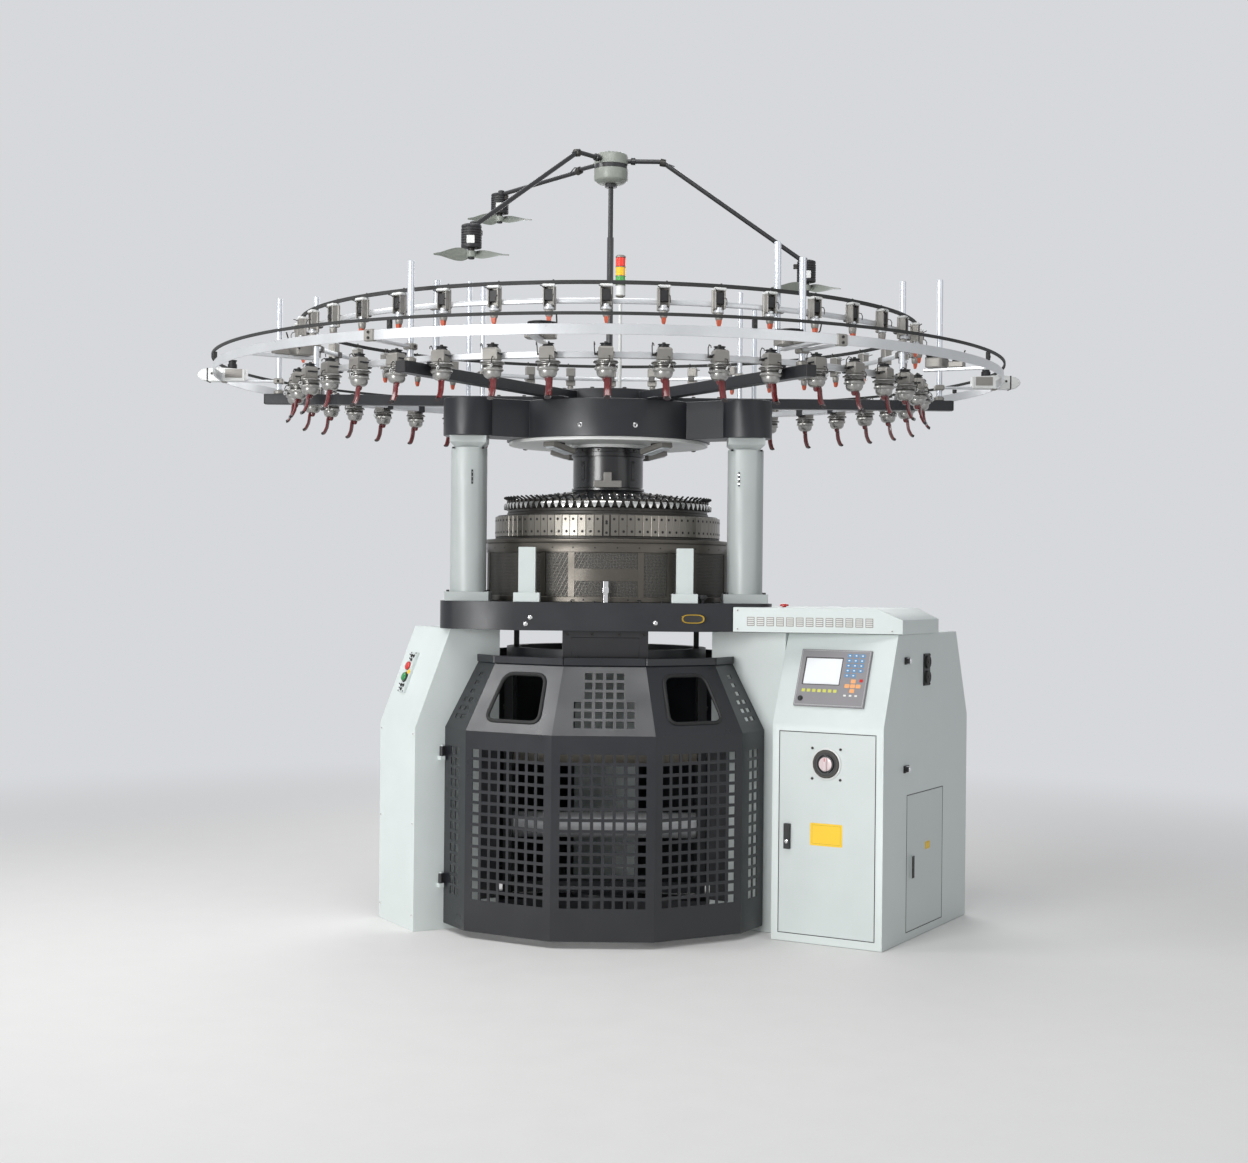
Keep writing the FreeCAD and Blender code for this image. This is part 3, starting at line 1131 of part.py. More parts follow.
# ---- all sub-parts ----
def main():
    os.makedirs("parts", exist_ok=True)
    save("base_frame", base_frame())
    save("leg_left", leg_left())
    save("leg_right", leg_right())
    save("leg_rear", leg_rear())
    save("bed_plate", bed_plate())
    save("columns", Part.makeCompound([column(angle) for angle in (LEFT, RIGHT, REAR)]))
    save("bed_posts", bed_posts())
    save("top_frame", top_frame())
    save("gate_front", gate_front())
    save("guard_left", guard_panel(LEFT, -LEG_WIDTH, (-2 * GUARD_R, 2 * GUARD_R), REAR_LEG_WIDTH / 2))
    save("guard_right", guard_panel(RIGHT, LEG_WIDTH, (2 * GUARD_R, 2 * GUARD_R), -REAR_LEG_WIDTH / 2))
    save("cam_skirt", cam_skirt())
    save("cam_ring", flat_ring(CAM_R, CAM_INNER_R, CAM_BOTTOM, CAM_TOP, CAM_SEGMENTS))
    save("feeder_crown", feeder_crown())
    save("needle_cylinder", flat_ring(CYLINDER_R, CYLINDER_R - CYLINDER_WALL, GEAR_BOTTOM + GEAR_THICK,
                                      CYLINDER_TOP))
    save("cylinder_gear", flat_ring(GEAR_R, GEAR_INNER_R, GEAR_BOTTOM, GEAR_BOTTOM + GEAR_THICK))
    save("needle_dial", needle_dial())
    save("dial_cover", dial_cover())
    save("dial_housing", dial_housing())
    save("dial_bracket", dial_bracket())
    save("ceiling_plate", ceiling_plate())
    save("grease_fitting", grease_fitting())
    save("drive_box", drive_box())
    save("drive_pinion", drive_pinion())
    save("takedown_frame", takedown_frame())
    save("takedown_roller_front", roller(0, ROLLER_R))
    save("takedown_roller_rear", roller(1, ROLLER_R))
    save("windup_roller", roller(2, WINDUP_R))
    save("creel_hub", creel_hub())
    save("creel_posts", creel_posts())
    save("feeder_ring_lower", feeder_ring_lower())
    save("yarn_levers", yarn_levers())
    save("feeder_ring_upper", feeder_ring_upper())
    save("belt_upper", belt_upper())
    save("outer_ring", outer_ring())
    save("belt_lower", belt_lower())
    save("belt_tensioners", belt_tensioners())
    lamp_place = (SIGNAL_X, SIGNAL_Y)
    lamp = prism(regular(SIGNAL_LAMP_R, BARREL_SIDES, 0, lamp_place), SIGNAL_LAMP_BOTTOM,
                 SIGNAL_LAMP_BOTTOM + SIGNAL_LAMP_HEIGHT)
    save("signal_pole", post(SIGNAL_POLE_R, HUB_TOP, SIGNAL_LAMP_BOTTOM, lamp_place))
    save("signal_lamp", lamp)
    save("fan_mast", fan_mast())
    save("fan_hub", fan_hub())
    save("fan_arms", Part.makeCompound([fan_arm(i) for i in range(len(FAN_PLACES))]))
    for i, name in enumerate(FAN_NAMES):
        save("propeller_" + name, propeller(i))
    save("cabinet_shell", cabinet_shell())
    save("cabinet_door", cabinet_door())
    save("switch_ring", switch_ring())
    save("main_switch", main_switch())
    save("door_handle", door_handle())
    save("side_door", side_door())
    save("side_latches", side_latches())
    save("cabinet_vents", cabinet_vents())
    save("operator_panel", operator_panel())
    save("cabinet_cover", cabinet_cover())
    save("cover_button", cover_button())
    save("button_strip", button_strip())
    save("stop_button", strip_button(STOP_S))
    save("start_button", strip_button(START_S))


main()
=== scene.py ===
"""Looks of the circular knitting machine: finishes, sheet guards, yarn feeders, cams, controls and stage.

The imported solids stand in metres. The pieces made here are written in millimetres about the same origin
and become metres when they turn into meshes. Legs stand at 210, 330 and 90 degrees.
"""
import math

import bpy
from bpy.props import FloatProperty, FloatVectorProperty, IntProperty, PointerProperty
from mathutils import Matrix, Vector
from mathutils.geometry import tessellate_polygon


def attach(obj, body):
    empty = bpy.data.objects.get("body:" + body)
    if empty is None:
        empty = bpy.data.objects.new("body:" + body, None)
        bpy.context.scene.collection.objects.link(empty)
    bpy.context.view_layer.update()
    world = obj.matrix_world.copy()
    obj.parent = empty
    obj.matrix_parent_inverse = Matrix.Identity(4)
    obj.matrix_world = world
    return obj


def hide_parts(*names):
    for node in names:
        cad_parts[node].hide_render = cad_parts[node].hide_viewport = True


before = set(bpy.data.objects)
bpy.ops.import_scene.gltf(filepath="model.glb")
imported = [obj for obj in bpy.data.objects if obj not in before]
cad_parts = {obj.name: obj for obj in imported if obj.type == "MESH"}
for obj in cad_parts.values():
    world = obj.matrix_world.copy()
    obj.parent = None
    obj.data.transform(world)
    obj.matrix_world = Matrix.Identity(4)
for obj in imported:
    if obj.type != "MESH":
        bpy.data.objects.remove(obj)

bl_info = {
    "name": "Circular knitting machine",
    "version": (1, 0, 0),
    "blender": (4, 5, 0),
    "location": "View3D > Sidebar > Knitting",
    "description": "Finishes and details of a circular knitting machine over its packed solids",
    "category": "Object",
}

MM = 0.001
# Metres, and a count, for the drum's mesh and the needle bed's grooves
DRUM_MESH_R = 0.565
MESH_PITCH = 0.0065
NEEDLE_SLOTS = 720
# Millimetres, and counts, for the sheet guard
GRILLE_MIDDLE = 501
GRILLE_ROWS = 14
GRILLE_COLUMNS = 8
COLLAR_R = 700
COLLAR_TOP = 1235
LEFT, RIGHT, REAR = 210.0, 330.0, 90.0
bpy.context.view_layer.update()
FINISHES = {}


# ---- settings ----
def colour_setting(name, description, shade):
    """Colour that a user may change, written as the screen shows it."""
    return FloatVectorProperty(name=name, description=description, subtype="COLOR_GAMMA", size=3, min=0.0,
                               max=1.0, default=[c / 255 for c in shade])


def length_setting(name, description, millimetres):
    """Length that a user may change, in metres."""
    return FloatProperty(name=name, description=description, default=millimetres * MM, min=0.0,
                         subtype="DISTANCE", unit="LENGTH", precision=4)


class KnittingColours(bpy.types.PropertyGroup):
    """Colours of the machine's finishes."""
    casing: colour_setting("Casing", "Satin paint of the legs, columns and cabinet", (209, 217, 215))
    frame_paint: colour_setting("Frame", "Dark paint of the bed, head plate and creel arms", (29, 31, 35))
    guard: colour_setting("Guard", "Dark paint of the sheet guards", (22, 24, 29))
    cam: colour_setting("Cam plates", "Ground steel of the cam ring", (126, 122, 115))
    skirt: colour_setting("Lower drum", "Steel of the drum under the cam ring", (90, 86, 80))
    mesh: colour_setting("Mesh", "Dark mesh in the lower drum's panels", (96, 94, 90))
    alloy: colour_setting("Cast alloy", "Bodies of the yarn feeders and guide units", (146, 143, 138))
    rod: colour_setting("Rods", "Creel rods and feeder rings", (214, 218, 224))
    lever: colour_setting("Levers", "Glossy stop levers of the feeders", (98, 24, 26))
    ivory: colour_setting("Fans", "Plastic of the fan hub and blades", (138, 143, 135))
    plate: colour_setting("Plates", "Blank plates on the cabinet", (240, 196, 24))
    floor: colour_setting("Floor", "Pale floor", (236, 235, 233))
    backdrop: colour_setting("Backdrop", "Plain background that the floor runs out into", (214, 216, 219))


class KnittingSizes(bpy.types.PropertyGroup):
    """Sizes and counts of the machine's details."""
    grille_hole: length_setting("Grille hole", "Side of the square holes in the gate", 34)
    grille_pitch: length_setting("Grille pitch", "Distance between the square holes", 48)
    vent_hole: length_setting("Vent hole", "Side of the holes in the gate's sloping top", 32)
    cam_plates: IntProperty(name="Cam plates", description="Plates round the cam ring", default=90, min=12,
                            max=180)
    holders: IntProperty(name="Feeder holders", description="Yarn holders round the crown", default=84,
                         min=12, max=168)
    lever_drop: length_setting("Lever drop", "How far a stop lever hangs under its feeder", 84)
    rod_radius: length_setting("Rod radius", "Radius of the creel rods", 14)
    blade_twist: FloatProperty(name="Blade twist", description="Twist of the fan blades from hub to tip",
                               default=math.radians(44), subtype="ANGLE", unit="ROTATION")
    lens: FloatProperty(name="Lens", description="Camera's focal length in millimetres", default=52.5,
                        min=10.0)


# ---- shapes ----
def around(angle):
    """Place whose X runs outward at this angle and whose Y runs anticlockwise from it."""
    return Matrix.Rotation(math.radians(angle), 4, "Z")


def at(x=0.0, y=0.0, z=0.0):
    """Place moved by this much, in millimetres."""
    return Matrix.Translation((x, y, z))


def axes(origin, x_dir, y_dir):
    """Place with the given X and Y directions."""
    x, y = Vector(x_dir).normalized(), Vector(y_dir).normalized()
    z = x.cross(y)
    return Matrix(((x.x, y.x, z.x, origin[0]), (x.y, y.y, z.y, origin[1]), (x.z, y.z, z.z, origin[2]),
                   (0, 0, 0, 1)))


def circle(radius, sides=24, z=0.0, turn=0.0, centre=(0.0, 0.0)):
    """Points of a regular outline at one height."""
    step = 2 * math.pi / sides
    start = math.radians(turn)
    return [(centre[0] + radius * math.cos(start + i * step),
             centre[1] + radius * math.sin(start + i * step), z)
            for i in range(sides)]


def rounded(width, height, radius, steps=3):
    """Outline of a rectangle with round corners, centred, as (x, y) points."""
    points = []
    for sx, sy, start in ((1, -1, -90), (1, 1, 0), (-1, 1, 90), (-1, -1, 180)):
        for i in range(steps + 1):
            a = math.radians(start + 90 * i / steps)
            points.append((sx * (width / 2 - radius) + radius * math.cos(a),
                           sy * (height / 2 - radius) + radius * math.sin(a)))
    return points


class Shape:
    """Points and faces of one piece in millimetres, each face with the number of its finish."""

    def __init__(self):
        self.points, self.faces, self.finishes = [], [], []

    def add(self, points, faces, finish=0, place=None):
        start = len(self.points)
        points = [Vector(p) for p in points]
        self.points += [place @ p for p in points] if place else points
        self.faces += [[start + i for i in face] for face in faces]
        self.finishes += [finish] * len(faces)

    def stack(self, layers, finish=0, place=None, closed=True):
        """Solid through a stack of outlines with as many points each."""
        count = len(layers[0])
        faces = []
        for row in range(len(layers) - 1):
            a = row * count
            for i in range(count):
                j = (i + 1) % count
                faces.append([a + i, a + j, a + count + j, a + count + i])
        if closed:
            last = (len(layers) - 1) * count
            faces += [list(range(count))[::-1], [last + i for i in range(count)]]
        self.add([p for layer in layers for p in layer], faces, finish, place)

    def block(self, low, high, finish=0, place=None, chamfer=1.5):
        """Block between two corners, all its edges chamfered."""
        c = min([chamfer] + [0.45 * (b - a) for a, b in zip(low, high)])
        def outline(inset, z):
            x0, y0, x1, y1 = low[0] + inset, low[1] + inset, high[0] - inset, high[1] - inset
            return [(x0 + c, y0, z), (x1 - c, y0, z), (x1, y0 + c, z), (x1, y1 - c, z),
                    (x1 - c, y1, z), (x0 + c, y1, z), (x0, y1 - c, z), (x0, y0 + c, z)]
        inner = min(c, 0.24 * min(high[0] - low[0], high[1] - low[1]))
        self.stack([outline(inner, low[2]), outline(0, low[2] + c), outline(0, high[2] - c),
                    outline(inner, high[2])], finish, place)

    def lathe(self, profile, sides=24, finish=0, place=None):
        """Turned solid through (radius, height) pairs about the place's Z axis."""
        self.stack([circle(max(r, 0.01), sides, z) for r, z in profile], finish, place)

    def ring(self, section, sides=90, finish=0, place=None):
        """Closed ring whose (radius, height) section runs round once."""
        count = len(section)
        points = [(r * math.cos(2 * math.pi * i / sides), r * math.sin(2 * math.pi * i / sides), z)
                  for i in range(sides) for r, z in section]
        faces = [[i * count + k, ((i + 1) % sides) * count + k, ((i + 1) % sides) * count + (k + 1) % count,
                  i * count + (k + 1) % count] for i in range(sides) for k in range(count)]
        self.add(points, faces, finish, place)

    def slab(self, outline, z0, z1, finish=0, place=None, edge=0.0):
        """Flat plate over an (x, y) outline, its top edge eased when edge is given."""
        layers = [[(x, y, z0) for x, y in outline], [(x, y, z1 - edge) for x, y in outline]]
        if edge:
            cx = sum(p[0] for p in outline) / len(outline)
            cy = sum(p[1] for p in outline) / len(outline)
            reach = max(math.hypot(x - cx, y - cy) for x, y in outline)
            keep = 1 - edge / reach
            layers.append([(cx + (x - cx) * keep, cy + (y - cy) * keep, z1) for x, y in outline])
        self.stack(layers, finish, place)

    def tube(self, path, radius, sides=8, finish=0, place=None, flat=1.0, loop=False):
        """Round or flattened bar along a path; flat scales its thickness across the path's bends."""
        path = [Vector(p) for p in path]
        count = len(path)
        side = None
        layers = []
        for i, p in enumerate(path):
            if loop:
                along = (path[(i + 1) % count] - path[i - 1]).normalized()
            else:
                along = (path[min(i + 1, count - 1)] - path[max(i - 1, 0)]).normalized()
            if side is None:
                side = along.orthogonal().normalized()
                if abs(along.y) < 0.9:
                    side = (Vector((0, 1, 0)) - along * along.y).normalized()
            side = (side - along * side.dot(along)).normalized()
            other = along.cross(side)
            layers.append([p + side * radius * math.cos(2 * math.pi * k / sides)
                           + other * radius * flat * math.sin(2 * math.pi * k / sides) for k in range(sides)])
        if loop:
            layers.append(layers[0])
        self.stack(layers, finish, place, closed=not loop)

    def sheet(self, outline, holes, thick, finish=0, place=None):
        """Flat sheet with holes, its outer face at Z = 0."""
        loops = [outline] + holes
        flat = [p for loop in loops for p in loop]
        triangles = tessellate_polygon([[Vector((x, y, 0)) for x, y in loop] for loop in loops])
        count = len(flat)
        points = [(x, y, 0) for x, y in flat] + [(x, y, -thick) for x, y in flat]
        faces = []
        for a, b, c in triangles:
            (ax, ay), (bx, by), (cx, cy) = flat[a], flat[b], flat[c]
            if (bx - ax) * (cy - ay) - (by - ay) * (cx - ax) < 0:
                b, c = c, b
            faces += [[a, b, c], [count + a, count + c, count + b]]
        start = 0
        for loop in loops:
            size = len(loop)
            for i in range(size):
                j = (i + 1) % size
                faces.append([start + i, start + j, count + start + j, count + start + i])
            start += size
        self.add(points, faces, finish, place)

    def bolt(self, place, radius=6.0, height=5.0, finish=0, socket=None, sides=12):
        """Cap screw whose head stands on the place's Z = 0, with a dark hexagon of painted shade for its
        socket.
        """
        self.lathe([(radius, 0), (radius, height * 0.8), (radius * 0.85, height)], sides, finish, place)
        if socket is not None:
            self.stack([circle(radius * 0.5, 6, height), circle(radius * 0.5, 6, height + 0.15)], socket,
                       place)

    def piece(self, name, finishes, body="frame", slot=None, replaces=(), smooth=35.0, bevel=0.0):
        """Turn the gathered faces into a scene object that rides on a body of the machine."""
        mesh = bpy.data.meshes.new(name)
        mesh.from_pydata([p * MM for p in self.points], [], self.faces)
        for finish in finishes:
            mesh.materials.append(FINISHES[finish])
        mesh.polygons.foreach_set("material_index", self.finishes)
        mesh.polygons.foreach_set("use_smooth", [True] * len(self.faces))
        mesh.update()
        thing = bpy.data.objects.new(name, mesh)
        bpy.context.scene.collection.objects.link(thing)
        soften(thing, smooth, bevel)
        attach(thing, body)
        if replaces:
            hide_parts(*replaces)
        return thing


def smoothing_group():
    """Node group that shades gentle bends smooth and keeps sharp ones crisp."""
    name = "shade_by_angle"
    if name in bpy.data.node_groups:
        return bpy.data.node_groups[name]
    group = bpy.data.node_groups.new(name, "GeometryNodeTree")
    group.interface.new_socket("Geometry", in_out="INPUT", socket_type="NodeSocketGeometry")
    group.interface.new_socket("Angle", in_out="INPUT", socket_type="NodeSocketFloat")
    group.interface.new_socket("Geometry", in_out="OUTPUT", socket_type="NodeSocketGeometry")
    nodes, links = group.nodes, group.links
    start, end = nodes.new("NodeGroupInput"), nodes.new("NodeGroupOutput")
    angle, wider = nodes.new("GeometryNodeInputMeshEdgeAngle"), nodes.new("FunctionNodeCompare")
    wider.operation = "GREATER_THAN"
    edges, faces = nodes.new("GeometryNodeSetShadeSmooth"), nodes.new("GeometryNodeSetShadeSmooth")
    edges.domain, faces.domain = "EDGE", "FACE"
    invert = nodes.new("FunctionNodeBooleanMath")
    invert.operation = "NOT"
    links.new(angle.outputs["Unsigned Angle"], wider.inputs["A"])
    links.new(start.outputs["Angle"], wider.inputs["B"])
    links.new(wider.outputs["Result"], invert.inputs[0])
    links.new(start.outputs["Geometry"], faces.inputs["Geometry"])
    links.new(faces.outputs["Geometry"], edges.inputs["Geometry"])
    links.new(invert.outputs[0], edges.inputs["Shade Smooth"])
    links.new(edges.outputs["Geometry"], end.inputs["Geometry"])
    return group


def soften(thing, angle=35.0, bevel=0.0, join=False):
    """Join split corners, ease sharp edges and smooth the shading of gentle bends."""
    if join:
        weld = thing.modifiers.new("join_corners", "WELD")
        weld.merge_threshold = 0.00005
    if bevel:
        ease = thing.modifiers.new("ease_edges", "BEVEL")
        ease.width = bevel * MM
        ease.segments = 2
        ease.limit_method = "ANGLE"
        ease.angle_limit = math.radians(32)
    shade = thing.modifiers.new("shade_by_angle", "NODES")
    shade.node_group = smoothing_group()
    shade["Socket_1"] = math.radians(angle)
    if bevel:
        flat = thing.modifiers.new("keep_faces_flat", "WEIGHTED_NORMAL")
        flat.keep_sharp = True
        flat.weight = 90


# ---- finishes ----
def linear(shade):
    """Colour as the shader needs it, from one written as the screen shows it."""
    return [c / 12.92 if c <= 0.04045 else ((c + 0.055) / 1.055) ** 2.4 for c in shade]


def shade_of(*shade):
    """Colour from three numbers up to 255."""
    return [c / 255 for c in shade]


def noise_node(tree, vector, scale, detail=3.0, rough=0.5):
    """Noise at this scale."""
    node = tree.nodes.new("ShaderNodeTexNoise")
    node.inputs["Scale"].default_value = scale
    node.inputs["Detail"].default_value = detail
    node.inputs["Roughness"].default_value = rough
    tree.links.new(vector, node.inputs["Vector"])
    return node.outputs["Fac"]


def spread(tree, value, low, high, from_low=0.3, from_high=0.7):
    """Value stretched to the range from low to high."""
    node = tree.nodes.new("ShaderNodeMapRange")
    tree.links.new(value, node.inputs["Value"])
    for key, number in (("From Min", from_low), ("From Max", from_high), ("To Min", low), ("To Max", high)):
        node.inputs[key].default_value = number
    return node.outputs["Result"]


def mixed(tree, factor, first, second):
    """Mix of two colours, each a node's output or a plain colour."""
    node = tree.nodes.new("ShaderNodeMix")
    node.data_type = "RGBA"
    tree.links.new(factor, node.inputs[0])
    for socket, colour in ((node.inputs[6], first), (node.inputs[7], second)):
        if isinstance(colour, (list, tuple)):
            socket.default_value = (*colour[:3], 1.0)
        else:
            tree.links.new(colour, socket)
    return node.outputs[2]


def finish(name, shade, roughness=0.45, metallic=0.0, grain=700.0, relief=0.03, mottle=0.05, stretch=None,
           coat=0.0, dust=0.0, glow=0.0, pattern=None):
    """Finish with a mottled colour, patches of duller surface and a fine relief at a real scale."""
    material = bpy.data.materials.new(name)
    material.use_nodes = True
    tree = material.node_tree
    shader = tree.nodes["Principled BSDF"]
    where = tree.nodes.new("ShaderNodeTexCoord").outputs["Object"]
    fine_at = where
    if stretch:
        mapping = tree.nodes.new("ShaderNodeMapping")
        mapping.inputs["Scale"].default_value = stretch
        tree.links.new(where, mapping.inputs["Vector"])
        fine_at = mapping.outputs["Vector"]
    colour = linear(shade)
    broad = noise_node(tree, where, 6.0, 4.0)
    fine = noise_node(tree, fine_at, grain, 2.0)
    tone = mixed(tree, spread(tree, broad, 0.0, 1.0), [c * (1 - mottle) for c in colour],
                 [min(1.0, c * (1 + mottle)) for c in colour])
    tone = mixed(tree, spread(tree, fine, 0.0, 2.5 * mottle), tone, [c * 0.6 for c in colour])
    if dust:
        parts = tree.nodes.new("ShaderNodeSeparateXYZ")
        tree.links.new(where, parts.inputs[0])
        low = spread(tree, parts.outputs["Z"], dust, 0.0, 0.0, 0.35)
        tone = mixed(tree, low, tone, [0.5 * c + 0.5 * d for c,
                                       d in zip(colour, linear(shade_of(150, 145, 138)))])
    if pattern:
        tone, fine = pattern(tree, where, tone, colour)
    tree.links.new(tone, shader.inputs["Base Color"])
    tree.links.new(spread(tree, broad, max(0.02, roughness - 0.07), roughness + 0.07),
                   shader.inputs["Roughness"])
    shader.inputs["Metallic"].default_value = metallic
    if coat:
        shader.inputs["Coat Weight"].default_value = coat
        shader.inputs["Coat Roughness"].default_value = 0.12
    if glow:
        shader.inputs["Emission Color"].default_value = (*colour, 1.0)
        shader.inputs["Emission Strength"].default_value = glow
    bump = tree.nodes.new("ShaderNodeBump")
    bump.inputs["Strength"].default_value = relief * 4
    bump.inputs["Distance"].default_value = 0.0006
    tree.links.new(fine, bump.inputs["Height"])
    tree.links.new(bump.outputs["Normal"], shader.inputs["Normal"])
    FINISHES[name] = material
    return material


def turn_about_axis(tree, where):
    """Angle round the machine's upright axis at a place, and that place's own height."""
    parts = tree.nodes.new("ShaderNodeSeparateXYZ")
    tree.links.new(where, parts.inputs[0])
    turn = tree.nodes.new("ShaderNodeMath")
    turn.operation = "ARCTAN2"
    tree.links.new(parts.outputs["Y"], turn.inputs[0])
    tree.links.new(parts.outputs["X"], turn.inputs[1])
    return turn.outputs[0], parts.outputs["Z"]


def multiplied(tree, source, factor):
    """A node's value times a plain number."""
    times = tree.nodes.new("ShaderNodeMath")
    times.operation = "MULTIPLY"
    times.inputs[1].default_value = factor
    tree.links.new(source, times.inputs[0])
    return times.outputs[0]


def round_mesh(tree, where, tone, colour):
    """Rows of small round holes that run round the drum, painted near-black as the shade behind the mesh; the
    same mask also drives the relief.
    """
    turn, height = turn_about_axis(tree, where)
    cell = tree.nodes.new("ShaderNodeCombineXYZ")
    for source, key, scale in ((turn, "X", DRUM_MESH_R / MESH_PITCH), (height, "Y", 1 / MESH_PITCH)):
        tree.links.new(multiplied(tree, source, scale), cell.inputs[key])
    dots = tree.nodes.new("ShaderNodeTexVoronoi")
    dots.voronoi_dimensions = "2D"
    dots.inputs["Scale"].default_value = 1.0
    dots.inputs["Randomness"].default_value = 0.25
    tree.links.new(cell.outputs[0], dots.inputs["Vector"])
    solid = spread(tree, dots.outputs["Distance"], 0.0, 1.0, 0.28, 0.42)
    return mixed(tree, solid, [c * 0.16 for c in colour], tone), solid


def needle_slots(tree, where, tone, colour):
    """Fine radial grooves of a needle bed, painted dark as the shade in them; the same mask also drives the
    relief.
    """
    turn, _ = turn_about_axis(tree, where)
    wave = tree.nodes.new("ShaderNodeMath")
    wave.operation = "SINE"
    tree.links.new(multiplied(tree, turn, float(NEEDLE_SLOTS)), wave.inputs[0])
    groove = spread(tree, wave.outputs[0], 0.0, 1.0, -0.3, 0.3)
    return mixed(tree, groove, [c * 0.25 for c in colour], tone), groove


def make_finishes(colours):
    """Every finish that the machine shows."""
    finish("casing", colours.casing, 0.42, relief=0.05, mottle=0.025, dust=0.18)
    # Satin copy of the casing paint, its colour darkened to 0.95 as painted shade.
    finish("casing_satin_painted_shade", [c * 0.95 for c in colours.casing], 0.36, relief=0.03, mottle=0.02)
    # The columns take the casing colour darkened to 0.82: painted shade of the creel above them.
    finish("column_painted_shade", [c * 0.82 for c in colours.casing], 0.4, relief=0.03, mottle=0.02)
    finish("frame_paint", colours.frame_paint, 0.40, relief=0.06, mottle=0.08)
    finish("guard", colours.guard, 0.34, relief=0.02, mottle=0.05, dust=0.03, coat=0.2)
    # Guard paint darkened to 0.6 for the inside of the guard: painted shade, with some dust.
    finish("guard_inside_painted_shade", [c * 0.6 for c in colours.guard], 0.6, relief=0.05, mottle=0.1, dust=0.3)
    finish("cam_steel", colours.cam, 0.34, 0.85, 160.0, 0.06, 0.08, (1, 1, 9))
    finish("drum_steel", colours.skirt, 0.38, 0.75, 120.0, 0.06, 0.07, (1, 1, 14))
    finish("drum_mesh", colours.mesh, 0.55, 0.6, relief=0.2, mottle=0.1, pattern=round_mesh)
    finish("needle_bed", colours.cam, 0.30, 0.9, relief=0.15, mottle=0.05, pattern=needle_slots)
    finish("bright_steel", shade_of(205, 205, 203), 0.2, 0.95, 220.0, 0.04, 0.05, (1, 1, 6))
    finish("dark_steel", shade_of(66, 64, 61), 0.42, 0.7, 260.0, 0.08, 0.12)
    finish("alloy", colours.alloy, 0.46, 0.55, 520.0, 0.12, 0.09)
    finish("alloy_dark", shade_of(96, 94, 92), 0.5, 0.5, 520.0, 0.12, 0.12)
    finish("rod_metal", colours.rod, 0.28, 0.6, 240.0, 0.04, 0.04, (1, 1, 0.1))
    finish("ring_metal", shade_of(206, 208, 210), 0.34, 0.5, 240.0, 0.05, 0.05)
    finish("feeder_silver", shade_of(164, 163, 160), 0.3, 0.75, 240.0, 0.05, 0.08)
    finish("lever_red", colours.lever, 0.25, relief=0.03, mottle=0.1, coat=0.6)
    finish("lever_tip", shade_of(30, 15, 16), 0.3, relief=0.03, mottle=0.1, coat=0.4)
    finish("finger_red", shade_of(196, 92, 64), 0.4, relief=0.03, mottle=0.1)
    finish("belt_black", shade_of(38, 38, 38), 0.7, relief=0.12, mottle=0.1)
    finish("black_paint", shade_of(30, 30, 32), 0.3, relief=0.04, mottle=0.1, coat=0.25)
    finish("black_plastic", shade_of(28, 28, 30), 0.5, relief=0.08, mottle=0.1)
    # Near-black for sockets, screw holes, slits and seam gaps: painted shade of their hollows.
    finish("hole_painted_shade", shade_of(12, 12, 13), 0.8, relief=0.05, mottle=0.1)
    finish("ivory", colours.ivory, 0.4, relief=0.05, mottle=0.04)
    finish("pale_paint", shade_of(214, 216, 214), 0.4, relief=0.05, mottle=0.04)
    finish("yellow_plate", colours.plate, 0.4, relief=0.03, mottle=0.03)
    finish("plate_line", shade_of(120, 96, 20), 0.5, relief=0.03, mottle=0.05)
    finish("brass", shade_of(196, 160, 62), 0.3, 0.85, 240.0, 0.05, 0.08)
    finish("chrome", shade_of(222, 222, 222), 0.08, 1.0, 240.0, 0.02, 0.03)
    finish("red_button", shade_of(196, 34, 28), 0.28, relief=0.03, mottle=0.05, coat=0.5)
    finish("green_button", shade_of(32, 128, 62), 0.28, relief=0.03, mottle=0.05, coat=0.5)
    finish("lens_red", shade_of(226, 52, 36), 0.2, relief=0.03, mottle=0.06, coat=0.6, glow=0.15)
    finish("lens_yellow", shade_of(240, 186, 30), 0.2, relief=0.03, mottle=0.06, coat=0.6, glow=0.12)
    finish("lens_green", shade_of(70, 160, 70), 0.2, relief=0.03, mottle=0.06, coat=0.6, glow=0.1)
    finish("bezel", shade_of(136, 134, 137), 0.45, relief=0.06, mottle=0.03)
    finish("screen", shade_of(240, 243, 246), 0.12, relief=0.01, mottle=0.015, coat=0.8)
    finish("key_blue", shade_of(88, 140, 182), 0.4, relief=0.03, mottle=0.03)
    finish("key_orange", shade_of(234, 168, 112), 0.4, relief=0.03, mottle=0.03)
    finish("key_lime", shade_of(206, 208, 92), 0.4, relief=0.03, mottle=0.03)
    finish("key_white", shade_of(228, 228, 224), 0.4, relief=0.03, mottle=0.03)
    finish("knob_pink", shade_of(214, 196, 198), 0.35, relief=0.03, mottle=0.03, coat=0.3)
    finish("rubber", shade_of(24, 24, 25), 0.62, relief=0.1, mottle=0.1)
    finish("bottle", shade_of(206, 212, 216), 0.3, relief=0.03, mottle=0.04, coat=0.3)
    finish("roller_rubber", shade_of(128, 122, 112), 0.6, relief=0.2, mottle=0.12)


def dress(names, finish_name, bevel=1.5, angle=32.0):
    """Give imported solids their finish, eased edges and smooth bends."""
    for name in names.split():
        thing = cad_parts[name]
        thing.data.materials.clear()
        thing.data.materials.append(FINISHES[finish_name])
        soften(thing, angle, bevel, join=True)


# ---- sheet guard ----
GUARD_FLAT = math.cos(math.pi / 12)
GUARD_R, GUARD_TOP_R = 860.0, 692.0
GUARD_HALF, GUARD_TOP_HALF = GUARD_R * math.sin(math.pi / 12), GUARD_TOP_R * math.sin(math.pi / 12)
GUARD_KNEE, GUARD_TOP, GUARD_FOOT = 910.0, 1202.0, 30.0
SLOPE_LENGTH = math.hypot(GUARD_TOP - GUARD_KNEE, (GUARD_R - GUARD_TOP_R) * GUARD_FLAT)


